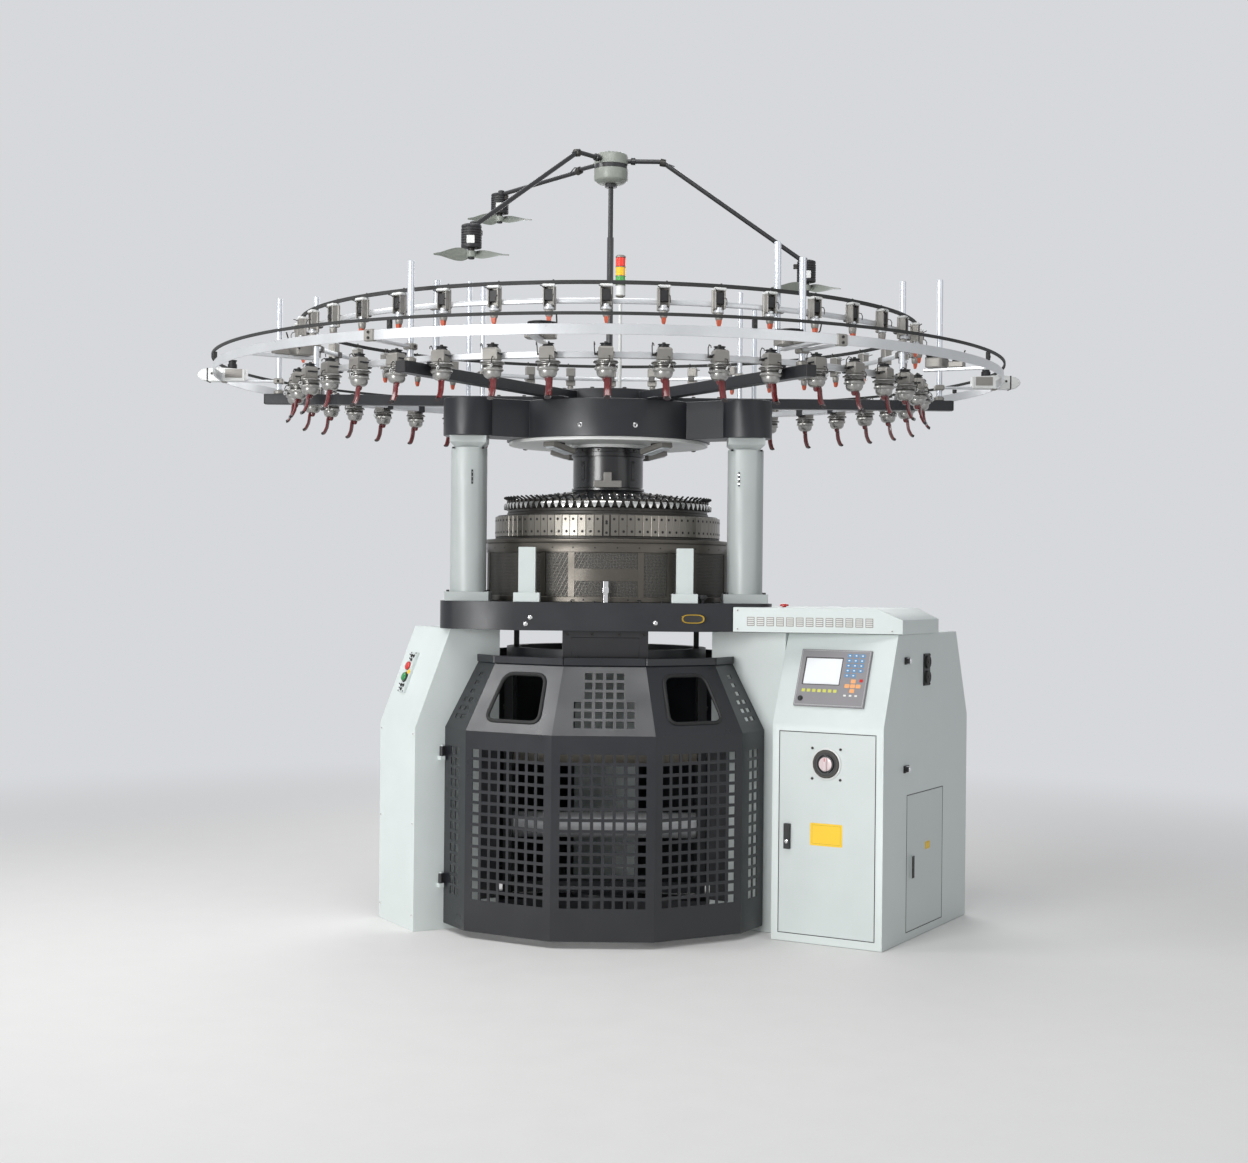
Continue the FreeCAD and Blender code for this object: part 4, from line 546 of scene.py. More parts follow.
def facet(angle, sloping=False):
    """Place on one side of the guard: X across, Y up the sheet, Z outward."""
    a = math.radians(angle)
    outward, across = Vector((math.cos(a), math.sin(a), 0)), Vector((-math.sin(a), math.cos(a), 0))
    foot = outward * GUARD_R * GUARD_FLAT
    if not sloping:
        return axes(foot, across, (0, 0, 1))
    rise = outward * (GUARD_TOP_R - GUARD_R) * GUARD_FLAT + Vector((0, 0, GUARD_TOP - GUARD_KNEE))
    return axes(foot + Vector((0, 0, GUARD_KNEE)), across, rise)


def square(x, y, width, height):
    """Outline of a rectangular hole round a middle."""
    return [(x - width / 2, y - height / 2), (x - width / 2, y + height / 2), (x + width / 2, y + height / 2),
            (x + width / 2, y - height / 2)]


def window_outline(grow=0.0):
    """Round-cornered window that narrows upward with its side of the guard."""
    middle = SLOPE_LENGTH / 2
    corners = [(-137, middle - 110), (137, middle - 110), (103, middle + 116), (-103, middle + 116)]
    points = []
    for i, (x, y) in enumerate(corners):
        here = Vector((x, y))
        to_last = (Vector(corners[i - 1]) - here).normalized()
        to_next = (Vector(corners[(i + 1) % 4]) - here).normalized()
        start, end = here + to_last * 46, here + to_next * 46
        for k in range(6):
            t = k / 5
            p = start * (1 - t) ** 2 + here * 2 * t * (1 - t) + end * t * t
            inward = (Vector((0, middle)) - p).normalized()
            points.append(tuple(p - inward * grow))
    return points


def turned_over(points, side):
    """Outline of a half side, mirrored for the guard's right end."""
    return points if side > 0 else [(-x, y) for x, y in reversed(points)]


def make_gate(sizes):
    """Swinging front of the guard, folded from perforated sheet."""
    hole, pitch, vent = sizes.grille_hole / MM, sizes.grille_pitch / MM, sizes.vent_hole / MM
    gate = Shape()
    rows = [GRILLE_MIDDLE + pitch * (r - (GRILLE_ROWS - 1) / 2) for r in range(GRILLE_ROWS)]
    middle = SLOPE_LENGTH / 2
    for angle in (240, 270, 300):
        outline = [(-GUARD_HALF, GUARD_FOOT), (GUARD_HALF, GUARD_FOOT), (GUARD_HALF, GUARD_KNEE),
                   (-GUARD_HALF, GUARD_KNEE)]
        holes = [square(pitch * (c - (GRILLE_COLUMNS - 1) / 2), y, hole, hole)
                 for c in range(GRILLE_COLUMNS) for y in rows]
        gate.sheet(outline, holes, 4, 0, facet(angle))
        outline = [(-GUARD_HALF, 0), (GUARD_HALF, 0), (GUARD_TOP_HALF, SLOPE_LENGTH),
                   (-GUARD_TOP_HALF, SLOPE_LENGTH)]
        if angle == 270:
            holes = [square(46 * (c - (n - 1) / 2), middle + 46 * (r - 2.5), vent, vent)
                     for r, n in enumerate((6, 6, 6, 4, 4, 4)) for c in range(n)]
        else:
            holes = [window_outline()]
        gate.sheet(outline, holes, 4, 0, facet(angle, True))
        gate.block((GUARD_TOP_R * GUARD_FLAT - 4, -GUARD_TOP_HALF, GUARD_TOP),
                   (COLLAR_R * GUARD_FLAT, GUARD_TOP_HALF, COLLAR_TOP), 0, around(angle), 2)
        gate.block((GUARD_R * GUARD_FLAT - 24, -GUARD_HALF + 6, GUARD_FOOT),
                   (GUARD_R * GUARD_FLAT - 4, GUARD_HALF - 6, 33), 0, around(angle), 1)
    for angle, side in ((LEFT, 1), (RIGHT, -1)):
        outline = turned_over([(5, GUARD_FOOT), (GUARD_HALF, GUARD_FOOT), (GUARD_HALF, GUARD_KNEE),
                               (5, GUARD_KNEE)], side)
        gate.sheet(outline, [square(side * x, y, hole, hole) for x in (88, 88 + pitch) for y in rows], 4, 0,
                   facet(angle))
        outline = turned_over([(5, 0), (GUARD_HALF, 0), (GUARD_TOP_HALF, SLOPE_LENGTH), (5, SLOPE_LENGTH)],
                              side)
        slots = [square(side * x, middle + 42 * (r - 2.5), 34, 20) for r in range(6)
                 for x in ((70, 122) if r < 3 else (96,))]
        gate.sheet(outline, slots, 4, 0, facet(angle, True))
        low, high = sorted((5 * side, GUARD_TOP_HALF * side))
        gate.block((GUARD_TOP_R * GUARD_FLAT - 4, low, GUARD_TOP), (COLLAR_R * GUARD_FLAT, high, COLLAR_TOP),
                   0, around(angle), 2)
        low, high = sorted((5 * side, 11 * side))
        gate.block((GUARD_R * GUARD_FLAT - 26, low, GUARD_FOOT),
                   (GUARD_R * GUARD_FLAT - 3, high, GUARD_KNEE - 4), 0, around(angle), 1)
    for z in (210, 780):
        gate.block((828, 10, z + 0.3), (852, 20, z + 44), 1, around(LEFT), 1)
        gate.lathe([(9, z + 0.3), (11, z + 2), (11, z + 42), (9, z + 44)], 20, 1, around(LEFT) @ at(850, 15))
    gate.piece("gate_sheet", ["guard", "black_paint"], "gate", "guard_paint", ["gate_front"], 25)
    edging = Shape()
    for angle in (240, 300):
        edging.tube([(x, y, 0) for x, y in window_outline(3)], 9, 8, 0, facet(angle, True), loop=True)
    edging.piece("window_edging", ["rubber"], "gate", "belt_black")
    dress("guard_left guard_right", "guard", 1.0)
    screws = Shape()
    for angle in (0, 30, 60, 120, 150, 180):
        for x in (-200, 200):
            for y in (70, 470, 880):
                screws.bolt(facet(angle) @ at(x, y, 0), 7, 4, 0, 1)
    screws.piece("guard_screws", ["dark_steel", "hole_painted_shade"])
    # Dark guard-paint sheets over the legs' inner faces inside the guard: painted shade where the legs show
    # through the grille.
    shade_sheets = Shape()
    shade_sheets.block((561, 0.2, 120), (655, 1.8, 905), 0, around(LEFT), 0.3)
    shade_sheets.block((561, -1.8, 120), (655, -0.2, 905), 0, around(RIGHT), 0.3)
    shade_sheets.piece("leg_painted_shade_sheets", ["guard"])


# ---- knitting head ----
def make_cams(sizes):
    """Ground cam ring: a plate for each yarn with its two screws, on a turned ring."""
    count = sizes.cam_plates
    step = 360 / count
    half = math.pi * 529 / count - 0.7
    cams = Shape()
    cams.ring([(446, 1760.5), (526, 1760.5), (528, 1763), (528, 1769), (521, 1771), (521, 1866),
               (518, 1871.5), (446, 1871.5)], 180, 1)
    for i in range(count):
        place = around(270 + i * step)
        if i == 0:
            cams.block((518, -half * 0.72, 1772), (528.8, half * 0.72, 1866), 0, place, 1)
            spots = ((0, 1836), (0, 1828), (0, 1786))
        else:
            cams.block((518, -half, 1772), (529, half, 1866), 0, place, 1.2)
            spots = ((-3, 1847), (3, 1792))
        for y, z in spots:
            seat = place @ axes((529, y, z), (0, 1, 0), (0, 0, 1))
            # A near-black disc in each screw head is painted shade of its socket.
            cams.lathe([(6.2, -1), (6.2, 0.25), (5.2, 0.5)], 12, 1, seat)
            cams.lathe([(4.6, 0.2), (4.6, 0.7)], 12, 2, seat)
        # A near-black slit between the plates is painted shade of the gap.
        cams.block((527, -0.6, 1763.5), (528.4, 0.6, 1769), 2, place @ around(step / 2), 0.1)
    cams.piece("cam_plates", ["cam_steel", "dark_steel", "hole_painted_shade"], "frame", "ground_steel", ["cam_ring"])


def make_crown(sizes):
    """Ring of yarn holders: a bracket, a bright guide tip and a black finger for every yarn."""
    crown = Shape()
    crown.ring([(441, 1872.3), (472, 1872.3), (474, 1875), (474, 1884), (470, 1888), (470, 1898),
                (466, 1902), (441, 1902)], 168, 1)
    crown.ring([(441, 1904), (462, 1904), (465, 1908), (465, 1934), (460, 1938), (441, 1938)], 168, 4)
    step = 360 / sizes.holders
    for i in range(sizes.holders):
        place = around(270 + (i + 0.5) * step)
        crown.block((452, -6.5, 1926), (476, 6.5, 1942), 4, place, 1.5)
        crown.stack([[(464, -14.5, 1929), (464, 14.5, 1929), (486, 12, 1929), (486, -12, 1929)],
                     [(466, -13.5, 1922), (466, 13.5, 1922), (490, 11, 1920), (490, -11, 1920)],
                     [(472, -4, 1904), (472, 4, 1904), (489, 2.5, 1901), (489, -2.5, 1901)]][::-1], 0, place)
        crown.tube([(458, 3, 1938), (468, 3, 1946), (484, -1, 1955), (489, -2, 1957)], 4.2, 8, 2, place)
        crown.lathe([(5.2, 0), (5.2, 3), (3, 4.5)], 10, 3, place @ at(456, -1, 1942))
        crown.tube([(448, -5, 1938), (450, -5, 1952), (462, -7, 1959)], 2.0, 6, 3, place)
    crown.piece("yarn_holders", ["bright_steel", "dark_steel", "black_plastic", "chrome", "dark_steel"],
                "frame", "ground_steel", ["feeder_crown"])


def on_drum(outline, radius, finish, shape, depth=1.0, columns=8):
    """Thin patch wrapped on the drum over a (degrees, height) box."""
    a0, a1, z0, z1 = outline
    steps = max(1, columns)
    points, faces = [], []
    for r in (radius - depth, radius):
        for z in (z0, z1):
            for k in range(steps + 1):
                a = math.radians(a0 + (a1 - a0) * k / steps)
                points.append((r * math.cos(a), r * math.sin(a), z))
    n = steps + 1
    for k in range(steps):
        inner_low, inner_high, low, high = k, n + k, 2 * n + k, 3 * n + k
        faces += [[low, low + 1, high + 1, high], [high, high + 1, inner_high + 1, inner_high],
                  [inner_low + 1, low + 1, low, inner_low][::-1]]
    faces += [[0, 2 * n, 3 * n, n], [steps, n + steps, 3 * n + steps, 2 * n + steps]]
    shape.add(points, faces, finish)


def stripe(shape, angle, radius, z0, z1, lean, width, finish):
    """Slanting strip on the drum: lean is how far, in degrees, its top stands past its foot."""
    steps = 4
    points, faces = [], []
    for k in range(steps + 1):
        z = z0 + (z1 - z0) * k / steps
        for side in (-1, 1):
            a = math.radians(angle + lean * k / steps + side * math.degrees(width / 2 / radius))
            points.append(((radius) * math.cos(a), (radius) * math.sin(a), z))
    for k in range(steps):
        faces.append([2 * k, 2 * k + 1, 2 * k + 3, 2 * k + 2])
    shape.add(points, faces, finish)


def make_drum():
    """Lower drum: turned bands, upright bars and mesh panels with slanting strips."""
    drum = Shape()
    low, high = 1477.3, 1759.7
    drum.ring([(541, low), (566, low), (567.5, low + 2), (567.5, 1499), (566, 1501), (561, 1502), (561, 1697),
               (566, 1698), (567.5, 1700), (567.5, 1738), (566, 1741), (572, 1743), (573, 1746), (573, 1756),
               (570, high), (473, high), (473, 1742), (541, 1741)], 180, 0)
    panels = []
    for sector in range(6):
        base = 270 + 60 * sector
        panels += [(base - 14.3, base + 14.3, sector == 0), (base + 17.3, base + 28.6, False),
                   (base - 28.6, base - 17.3, False)]
    bars = [(b + s * a - w / 2, b + s * a + w / 2) for b in range(0, 360, 60) for s in (-1, 1)
            for a, w in ((15.8, 3.0),)] + [(b + 28.7, b + 31.3) for b in range(0, 360, 60)]
    for a0, a1 in bars:
        on_drum((270 + a0, 270 + a1, 1500, 1699), 565.5, 0, drum, 6, 3)
    for a0, a1, plain in panels:
        parts = ((1503, 1572), (1626, 1696)) if plain else ((1503, 1696),)
        if plain:
            on_drum((a0 - 0.3, a1 + 0.3, 1572, 1626), 565.0, 0, drum, 6, 12)
        for z0, z1 in parts:
            on_drum((a0, a1, z0, z1), 562.4, 1, drum, 2, 12)
            lean = (z1 - z0) * 0.55 / 565 * 180 / math.pi
            spacing = 2.15
            for k in range(int((a1 - a0 + lean) / spacing) + 1):
                foot = a0 - lean + spacing * (k + 0.5)
                t0, t1 = max(0, (a0 - foot) / lean), min(1, (a1 - foot) / lean)
                if t1 - t0 > 0.06:
                    stripe(drum, foot + lean * t0, 563.2, z0 + (z1 - z0) * t0, z0 + (z1 - z0) * t1,
                           lean * (t1 - t0), 2.6, 0)
    # Near-black discs and short slots on the drum's bands are painted shade of holes and slots.
    for i in range(36):
        seat = around(5 + 10 * i) @ axes((567.4, 0, 1719), (0, 1, 0), (0, 0, 1))
        drum.lathe([(3.6, -1), (3.6, 0.4)], 10, 2, seat)
        if i % 3 == 0:
            drum.block((566.5, -9, 1484), (568.2, 9, 1489), 2, around(15 + 10 * i), 0.3)
    for a in (270, 90):
        for s in (-1, 1):
            seat = around(a + s * 10) @ axes((567.4, 0, 1488), (0, 1, 0), (0, 0, 1))
            drum.lathe([(4, -1), (4, 0.5)], 10, 2, seat)
    drum.piece("lower_drum", ["drum_steel", "drum_mesh", "hole_painted_shade"], "frame", "ground_steel",
               ["cam_skirt"])


def make_head():
    """Centre housing, dial cover, needle beds and the pale plate with its trays."""
    dress("needle_cylinder needle_dial", "needle_bed", 0.5)
    dress("dial_cover", "frame_paint", 2.0)
    dress("ceiling_plate", "pale_paint", 1.5)
    dress("dial_bracket", "alloy", 3.0)
    dress("grease_fitting", "chrome", 1.2)
    housing = Shape()
    housing.lathe([(150, 1990.2), (168, 1990.2), (171, 1994), (171, 2004), (165, 2008), (165, 2168),
                   (171, 2172), (171, 2187), (168, 2190.8), (150, 2190.8)], 72, 0)
    housing.ring([(171.5, 2150), (173.5, 2152), (173.5, 2170), (171.5, 2172), (165, 2172), (165, 2150)], 72,
                 0)
    for i in range(12):
        housing.bolt(around(15 + 30 * i) @ axes((171, 0, 2180), (0, 1, 0), (0, 0, 1)), 5, 3, 1, 2)
    for i in range(4):
        housing.block((164, -10, 2040), (168, 10, 2130), 0, around(45 + 90 * i), 2)
    housing.piece("centre_housing", ["black_paint", "dark_steel", "hole_painted_shade"], "frame", "black_paint",
                  ["dial_housing"])
    cover = Shape()
    for i in range(24):
        place = around(7.5 + 15 * i)
        lean = Matrix.Rotation(math.radians(11.07), 4, "Y")
        cover.bolt(place @ at(250, 0, 1975) @ lean, 6, 6, 0, 1)
        cover.block((-55, -12, -2), (55, 12, 6), 2, place @ at(336, 0, 1958.5) @ lean, 2)
    cover.piece("dial_screws", ["dark_steel", "hole_painted_shade", "alloy_dark"])
    trays = Shape()
    for angle in (228, 312, 50, 130):
        place = around(angle) @ at(330, 0, 2168) @ Matrix.Rotation(math.radians(-12), 4, "Y")
        trays.block((-70, -34, 0), (80, 34, 26), 0, place, 3)
        trays.block((-60, -26, -4), (70, 26, 1), 1, place, 1)
        trays.block((-20, -8, 20), (20, 8, 44), 2, place, 1)
    trays.piece("oiler_trays", ["alloy", "bottle", "dark_steel"])


# ---- creel ----
RING_SIDES = 160
FEEDER_PLACES = 40
FEEDER_STEP = 9
ARM_STEP = 60
FEEDER_SPINDLE_R = 1456
GUIDE_PIVOT_R = 1444
UPPER_TEETH = 360
LOWER_TEETH = 420


def clear_of_arms(angle):
    """Whether a feeder fits at this angle beside the nearest arm."""
    return min(angle % ARM_STEP, ARM_STEP - angle % ARM_STEP) > FEEDER_STEP / 4


FEEDER_ANGLES = [a for a in range(270, 270 + FEEDER_STEP * FEEDER_PLACES, FEEDER_STEP) if clear_of_arms(a)]


def make_storage_feeders(sizes):
    """Lower ring with its storage feeders: clamp, cast body, stepped wheel and curved stop lever."""
    ring = Shape()
    ring.ring([(1407, 2455), (1409, 2453), (1430, 2453), (1432, 2455), (1432, 2477), (1430, 2479),
               (1409, 2479), (1407, 2477)], RING_SIDES, 0)
    for i in range(6):
        ring.block((1400, -18, 2438.2), (1427, 18, 2456), 1, around(ARM_STEP * i), 2)
    bodies, levers = Shape(), Shape()
    drop = sizes.lever_drop / MM
    for angle in FEEDER_ANGLES:
        place = around(angle)
        spindle = place @ at(FEEDER_SPINDLE_R, 0, 0)
        bodies.block((1403, -20, 2448), (1436, 20, 2484), 1, place, 3)
        bodies.bolt(place @ at(1418, 0, 2484), 6, 7, 2, 3)
        bodies.stack([[(1430, -24, 2440), (1484, -28, 2440), (1484, 28, 2440), (1430, 24, 2440)],
                      [(1430, -26, 2446), (1488, -31, 2446), (1488, 31, 2446), (1430, 26, 2446)],
                      [(1430, -26, 2486), (1486, -30, 2486), (1486, 30, 2486), (1430, 26, 2486)],
                      [(1434, -22, 2493), (1480, -25, 2493), (1480, 25, 2493), (1434, 22, 2493)]], 0, place)
        bodies.block((1432, -34, 2468), (1476, 34, 2474), 1, place, 1.5)
        bodies.lathe([(12, 2492), (24, 2494), (24, 2497), (20, 2498), (20, 2503), (24, 2504), (24, 2507),
                      (8, 2508)], 24, 3, spindle)
        bodies.lathe([(7, 2507), (7, 2514), (4, 2515)], 10, 2, spindle)
        bodies.lathe([(30, 2443), (46, 2438), (49, 2434), (49, 2429), (44, 2427), (40, 2424), (40, 2412),
                      (44, 2410), (45, 2405), (42, 2401), (37, 2398), (36, 2388), (33, 2380), (27, 2374),
                      (20, 2371), (4, 2370)][::-1], 32, 4, spindle)
        bodies.lathe([(45.5, 2429.5), (49.8, 2430), (49.8, 2434), (45.5, 2434.5)], 32, 2, spindle)
        bodies.lathe([(38, 2413), (41, 2413.5), (41, 2422), (38, 2422.5)], 32, 2, spindle)
        bodies.block((1440, -46, 2462), (1452, -27, 2470), 2, place, 1)
        bodies.tube([(1446, -44, 2466), (1450, -46, 2500), (1462, -46, 2512), (1474, -44, 2506),
                     (1476, -43, 2498)], 2.2, 6, 2, place)
        bodies.tube([(1484, 12, 2456), (1500, 16, 2452), (1506, 16, 2440), (1504, 14, 2424)], 2.2, 6, 2,
                    place)
        bodies.ring([(6, -1.4), (8.5, -1.4), (8.5, 1.4), (6, 1.4)], 16, 5,
                    place @ at(1504, 14, 2418) @ Matrix.Rotation(1.2, 4, "X"))
        levers.lathe([(13, 2371), (12, 2362), (8, 2355), (3, 2353)][::-1], 18, 0, spindle)
        high, low = 2370, 2370 - drop
        levers.tube([(1462, 7, high + 8), (1468, 8, high - 10), (1470, 8, high - 30), (1474, 8, high - 50),
                     (1484, 8, low + 14), (1490, 8, low + 6)], 14, 8, 0, place, flat=0.5)
        levers.tube([(1488, 8, low + 9), (1494, 8, low + 4), (1499, 8, low + 3)], 14.5, 8, 1, place, flat=0.5)
        levers.block((1452, 2, 2362), (1470, 14, 2374), 0, place, 2)
    ring.piece("feeder_ring", ["ring_metal", "frame_paint"], "frame", "feeder_alloy", ["feeder_ring_lower"])
    bodies.piece("storage_feeders", ["alloy", "frame_paint", "dark_steel", "black_plastic", "feeder_silver",
                                     "pale_paint"], "frame", "feeder_alloy")
    levers.piece("stop_levers", ["lever_red", "lever_tip"], "frame", "lever_red", ["yarn_levers"])


def make_guide_units():
    """Upper ring with its yarn guide units."""
    ring, units = Shape(), Shape()
    ring.ring([(1410, 2671), (1411, 2669), (1427, 2669), (1428, 2671), (1428, 2687), (1427, 2689),
               (1411, 2689), (1410, 2687)], RING_SIDES, 0)
    for i in range(6):
        ring.block((1398, -20, 2669.5), (1412, 20, 2688.5), 1, around(ARM_STEP * i), 2)
    for i in range(FEEDER_PLACES):
        place = around(270 + FEEDER_STEP * i)
        pivot = place @ at(GUIDE_PIVOT_R, 0, 0)
        units.block((1404, -16, 2664), (1432, 16, 2694), 1, place, 3)
        units.block((1424, -25, 2640), (1436, 25, 2738), 0, place, 3)
        units.block((1434, -22, 2656), (1462, -17, 2734), 0, place, 1.2)
        units.block((1434, 17, 2656), (1462, 22, 2734), 0, place, 1.2)
        units.block((1434, -17, 2676), (1457, 17, 2722), 3, place, 2)
        units.block((1426, -26, 2730), (1464, 26, 2741), 5, place, 2.5)
        units.lathe([(9, 2740), (9, 2741.8), (6, 2741.9)], 14, 2, pivot)
        units.lathe([(4, 2741), (4, 2760), (2.5, 2762)], 8, 2, place @ at(1432, 14, 0))
        units.lathe([(16, 2640), (20, 2643), (20, 2650), (15, 2654), (15, 2662)], 20, 4, pivot)
        units.lathe([(12, 2612), (15, 2618), (17, 2634), (14, 2641)], 18, 0, pivot)
        units.stack([[(1440, -5, 2588), (1450, -5, 2588), (1450, 5, 2588), (1440, 5, 2588)],
                     [(1438, -8, 2600), (1454, -8, 2600), (1454, 8, 2600), (1438, 8, 2600)],
                     [(1436, -9, 2622), (1456, -9, 2622), (1456, 9, 2622), (1436, 9, 2622)]], 6, place)
        units.tube([(1460, 19, 2700), (1474, 20, 2696), (1480, 20, 2684), (1478, 20, 2668)], 2.0, 6, 2, place)
        units.tube([(1460, -19, 2724), (1472, -22, 2730), (1478, -30, 2732)], 2.0, 6, 2, place)
    ring.piece("guide_ring", ["ring_metal", "frame_paint"], "frame", "feeder_alloy", ["feeder_ring_upper"])
    units.piece("guide_units", ["alloy", "alloy_dark", "dark_steel", "black_plastic", "ring_metal",
                                "pale_paint", "finger_red"], "frame", "feeder_alloy")


def make_belts():
    """Toothed belts over the guide units and the outer ring."""
    upper = Shape()
    upper.ring([(1433, 2742.3), (1441, 2742.3), (1441, 2757.7), (1433, 2757.7)], RING_SIDES, 0)
    for i in range(UPPER_TEETH):
        upper.block((1431.6, -4.5, 2743), (1433.6, 4.5, 2757), 0, around(i * 360 / UPPER_TEETH), 0.5)
    upper.piece("upper_belt", ["belt_black"], "frame", "belt_black", ["belt_upper"])
    lower = Shape()
    lower.ring([(1826, 2565), (1834, 2565), (1834, 2577), (1826, 2577)], RING_SIDES, 0)
    for i in range(LOWER_TEETH):
        lower.block((1824.6, -4.5, 2566), (1826.6, 4.5, 2576), 0, around(i * 360 / LOWER_TEETH), 0.5)
    for i in range(8):
        place = around(18 + 45 * i)
        lower.block((1816, -9, 2532), (1832, 9, 2567), 0, place, 1.5)
        lower.bolt(place @ axes((1832, 0, 2546), (0, 1, 0), (0, 0, 1)), 5, 3, 1, 0)
    lower.piece("lower_belt", ["belt_black", "dark_steel"], "frame", "belt_black", ["belt_lower"])


def make_outer_ring():
    """Flat outer ring with its bars, cast end brackets and four tension units."""
    ring, ends, units = Shape(), Shape(), Shape()
    ring.ring([(1822, 2494), (1823, 2493), (1826, 2493), (1827, 2494), (1827, 2532), (1826, 2533),
               (1823, 2533), (1822, 2532)], RING_SIDES, 0)
    for i in range(6):
        place = around(ARM_STEP * i)
        ring.block((1574, -15, 2493.5), (1824, 15, 2504.5), 0, place, 2)
        ring.block((1806, -24, 2490), (1831, 24, 2536), 1, place, 3)
        for z in (2502, 2524):
            ring.bolt(place @ axes((1831, 0, z), (0, 1, 0), (0, 0, 1)), 6, 4, 2, 3)
    for angle in (0, 180):
        place = around(angle)
        outline = [(1712, 2496), (1892, 2494), (1920, 2500), (1935, 2514), (1938, 2526), (1930, 2540),
                   (1912, 2551), (1850, 2560), (1790, 2556), (1712, 2551)]
        layers = []
        for y, keep in ((-33, 0.96), (-29, 1.0), (29, 1.0), (33, 0.96)):
            layers.append([(1825 + (x - 1825) * keep, y, 2530 + (z - 2530) * keep) for x, z in outline])
        ends.stack(layers[::-1], 0, place)
        for side in (-1, 1):
            seat = place @ axes((1770, side * 33, 2530), (1, 0, 0), (0, 0, side))
            for x in (-30, 20, 100):
                ends.bolt(seat @ at(x, 0, -0.5), 6, 5, 1, 2)
            ends.block((-44, -20, -1), (38, 22, 3), 3, seat, 1.5)
        ends.block((1888, -34.6, 2492), (1894, 34.6, 2556), 2, place, 0.5)
        ends.lathe([(22, 2553), (22, 2576), (18, 2580), (18, 2590), (22, 2592), (22, 2596), (6, 2598)], 28, 2,
                   place @ at(1780, 0, 0))
    for angle in (216, 261, 297, 333):
        place = around(angle)
        units.block((1540, -16, 2493.5), (1824, 16, 2506.5), 1, place, 2)
        units.stack([[(x, y, z) for x, y in rounded(80 - g, 120 - g, 16)] for z,
                     g in ((0, 4), (2, 0), (36, 0), (40, 6))], 0, place @ at(1600, 0, 2507))
        units.lathe([(50, 0), (52, 2), (52, 6), (46, 7), (46, 18), (52, 19), (52, 23), (48, 24), (20, 24)],
                    40, 3, place @ at(1600, 0, 2547))
        units.bolt(place @ at(1600, 0, 2571), 9, 6, 2, 4)
        for y in (-47, 47):
            units.bolt(place @ at(1600, y, 2547), 6, 5, 2, 4)
        units.lathe([(10, 0), (15, 3), (15, 18), (10, 22)], 20, 3, place @ at(1578, 44, 2552))
        units.lathe([(10, 0), (15, 3), (15, 18), (10, 22)], 20, 3, place @ at(1578, -44, 2552))
        units.tube([(1628, 60, 2530), (1660, 74, 2540), (1690, 80, 2562), (1700, 80, 2590)], 3, 8, 2, place)
        units.block((1654, -22, 2506), (1720, 22, 2532), 0, place, 3)
        units.lathe([(20, 0), (22, 2), (22, 14), (18, 16)], 24, 3, place @ at(1690, 0, 2532))
    ring.piece("outer_band", ["ring_metal", "alloy", "dark_steel", "hole_painted_shade"], "frame", "pale_paint",
               ["outer_ring"])
    ends.piece("end_brackets", ["pale_paint", "dark_steel", "black_plastic", "alloy"], "frame", "pale_paint")
    units.piece("tension_units", ["alloy", "ring_metal", "dark_steel", "black_plastic", "hole_painted_shade"],
                "frame", "feeder_alloy", ["belt_tensioners"])


ROD_TOPS = ((3000, 3010), (3130, 3080), (3150, 3200), (2900, 2890), (2790, 2840), (2960, 2870))


def make_creel(sizes):
    """Hub, arms with end caps, and the upright rods with their clamps."""
    dress("creel_hub top_frame", "frame_paint", 3.0)
    radius = sizes.rod_radius / MM
    rods, caps = Shape(), Shape()
    for i, tops in enumerate(ROD_TOPS):
        place = around(ARM_STEP * i)
        for r, top in zip((1385, 1560), tops):
            rods.lathe([(radius, 2438.2), (radius, top - 2), (radius - 2, top), (4, top)], 24, 0,
                       place @ at(r, 0, 0))
            rods.lathe([(22, 2438.2), (24, 2440), (24, 2452), (16, 2458)], 24, 1, place @ at(r, 0, 0))
        for r, z in ((1385, 2679), (1385, 2466), (1560, 2499)):
            rods.block((r - 22, -22, z - 13), (r + 22, 22, z + 13), 1, place, 4)
            rods.bolt(place @ axes((r, 22, z), (1, 0, 0), (0, 0, 1)) @ Matrix.Rotation(math.pi, 4, "X"), 6,
                      5, 2, 3)
        caps.block((1619, -24.4, 2390.6), (1626, 24.4, 2437.4), 0, place, 2)
        for r in (400, 520):
            caps.bolt(place @ at(r, 0, 2438), 9, 7, 1, 2)
        caps.block((470, -70, 2389), (560, 70, 2396), 3, place, 2)
    rods.piece("creel_rods", ["rod_metal", "alloy", "dark_steel", "hole_painted_shade"], "frame", "feeder_alloy",
               ["creel_posts"])
    for i in range(12):
        caps.bolt(around(15 + 30 * i) @ at(285, 0, 2450), 10, 9, 1, 2)
    for angle in (285, 255, 45, 135, 165, 15):
        caps.lathe([(11, 0), (11, 3), (9, 4)], 20, 4,
                   around(angle) @ axes((476, 0, 2270), (0, 1, 0), (0, 0, 1)))
        # A near-black hexagon on each plug is painted shade of its socket.
        caps.lathe([(5, 3.5), (5, 4.2)], 6, 2, around(angle) @ axes((476, 0, 2270), (0, 1, 0), (0, 0, 1)))
    caps.piece("creel_fittings", ["black_plastic", "dark_steel", "hole_painted_shade", "frame_paint", "chrome"])


# ---- signal lamp and lint fans ----
FANS = (("right", 0.0, 927.0, 2967.0), ("front", 230.0, 927.0, 2985.0), ("rear", 130.0, 890.0, 3412.0))


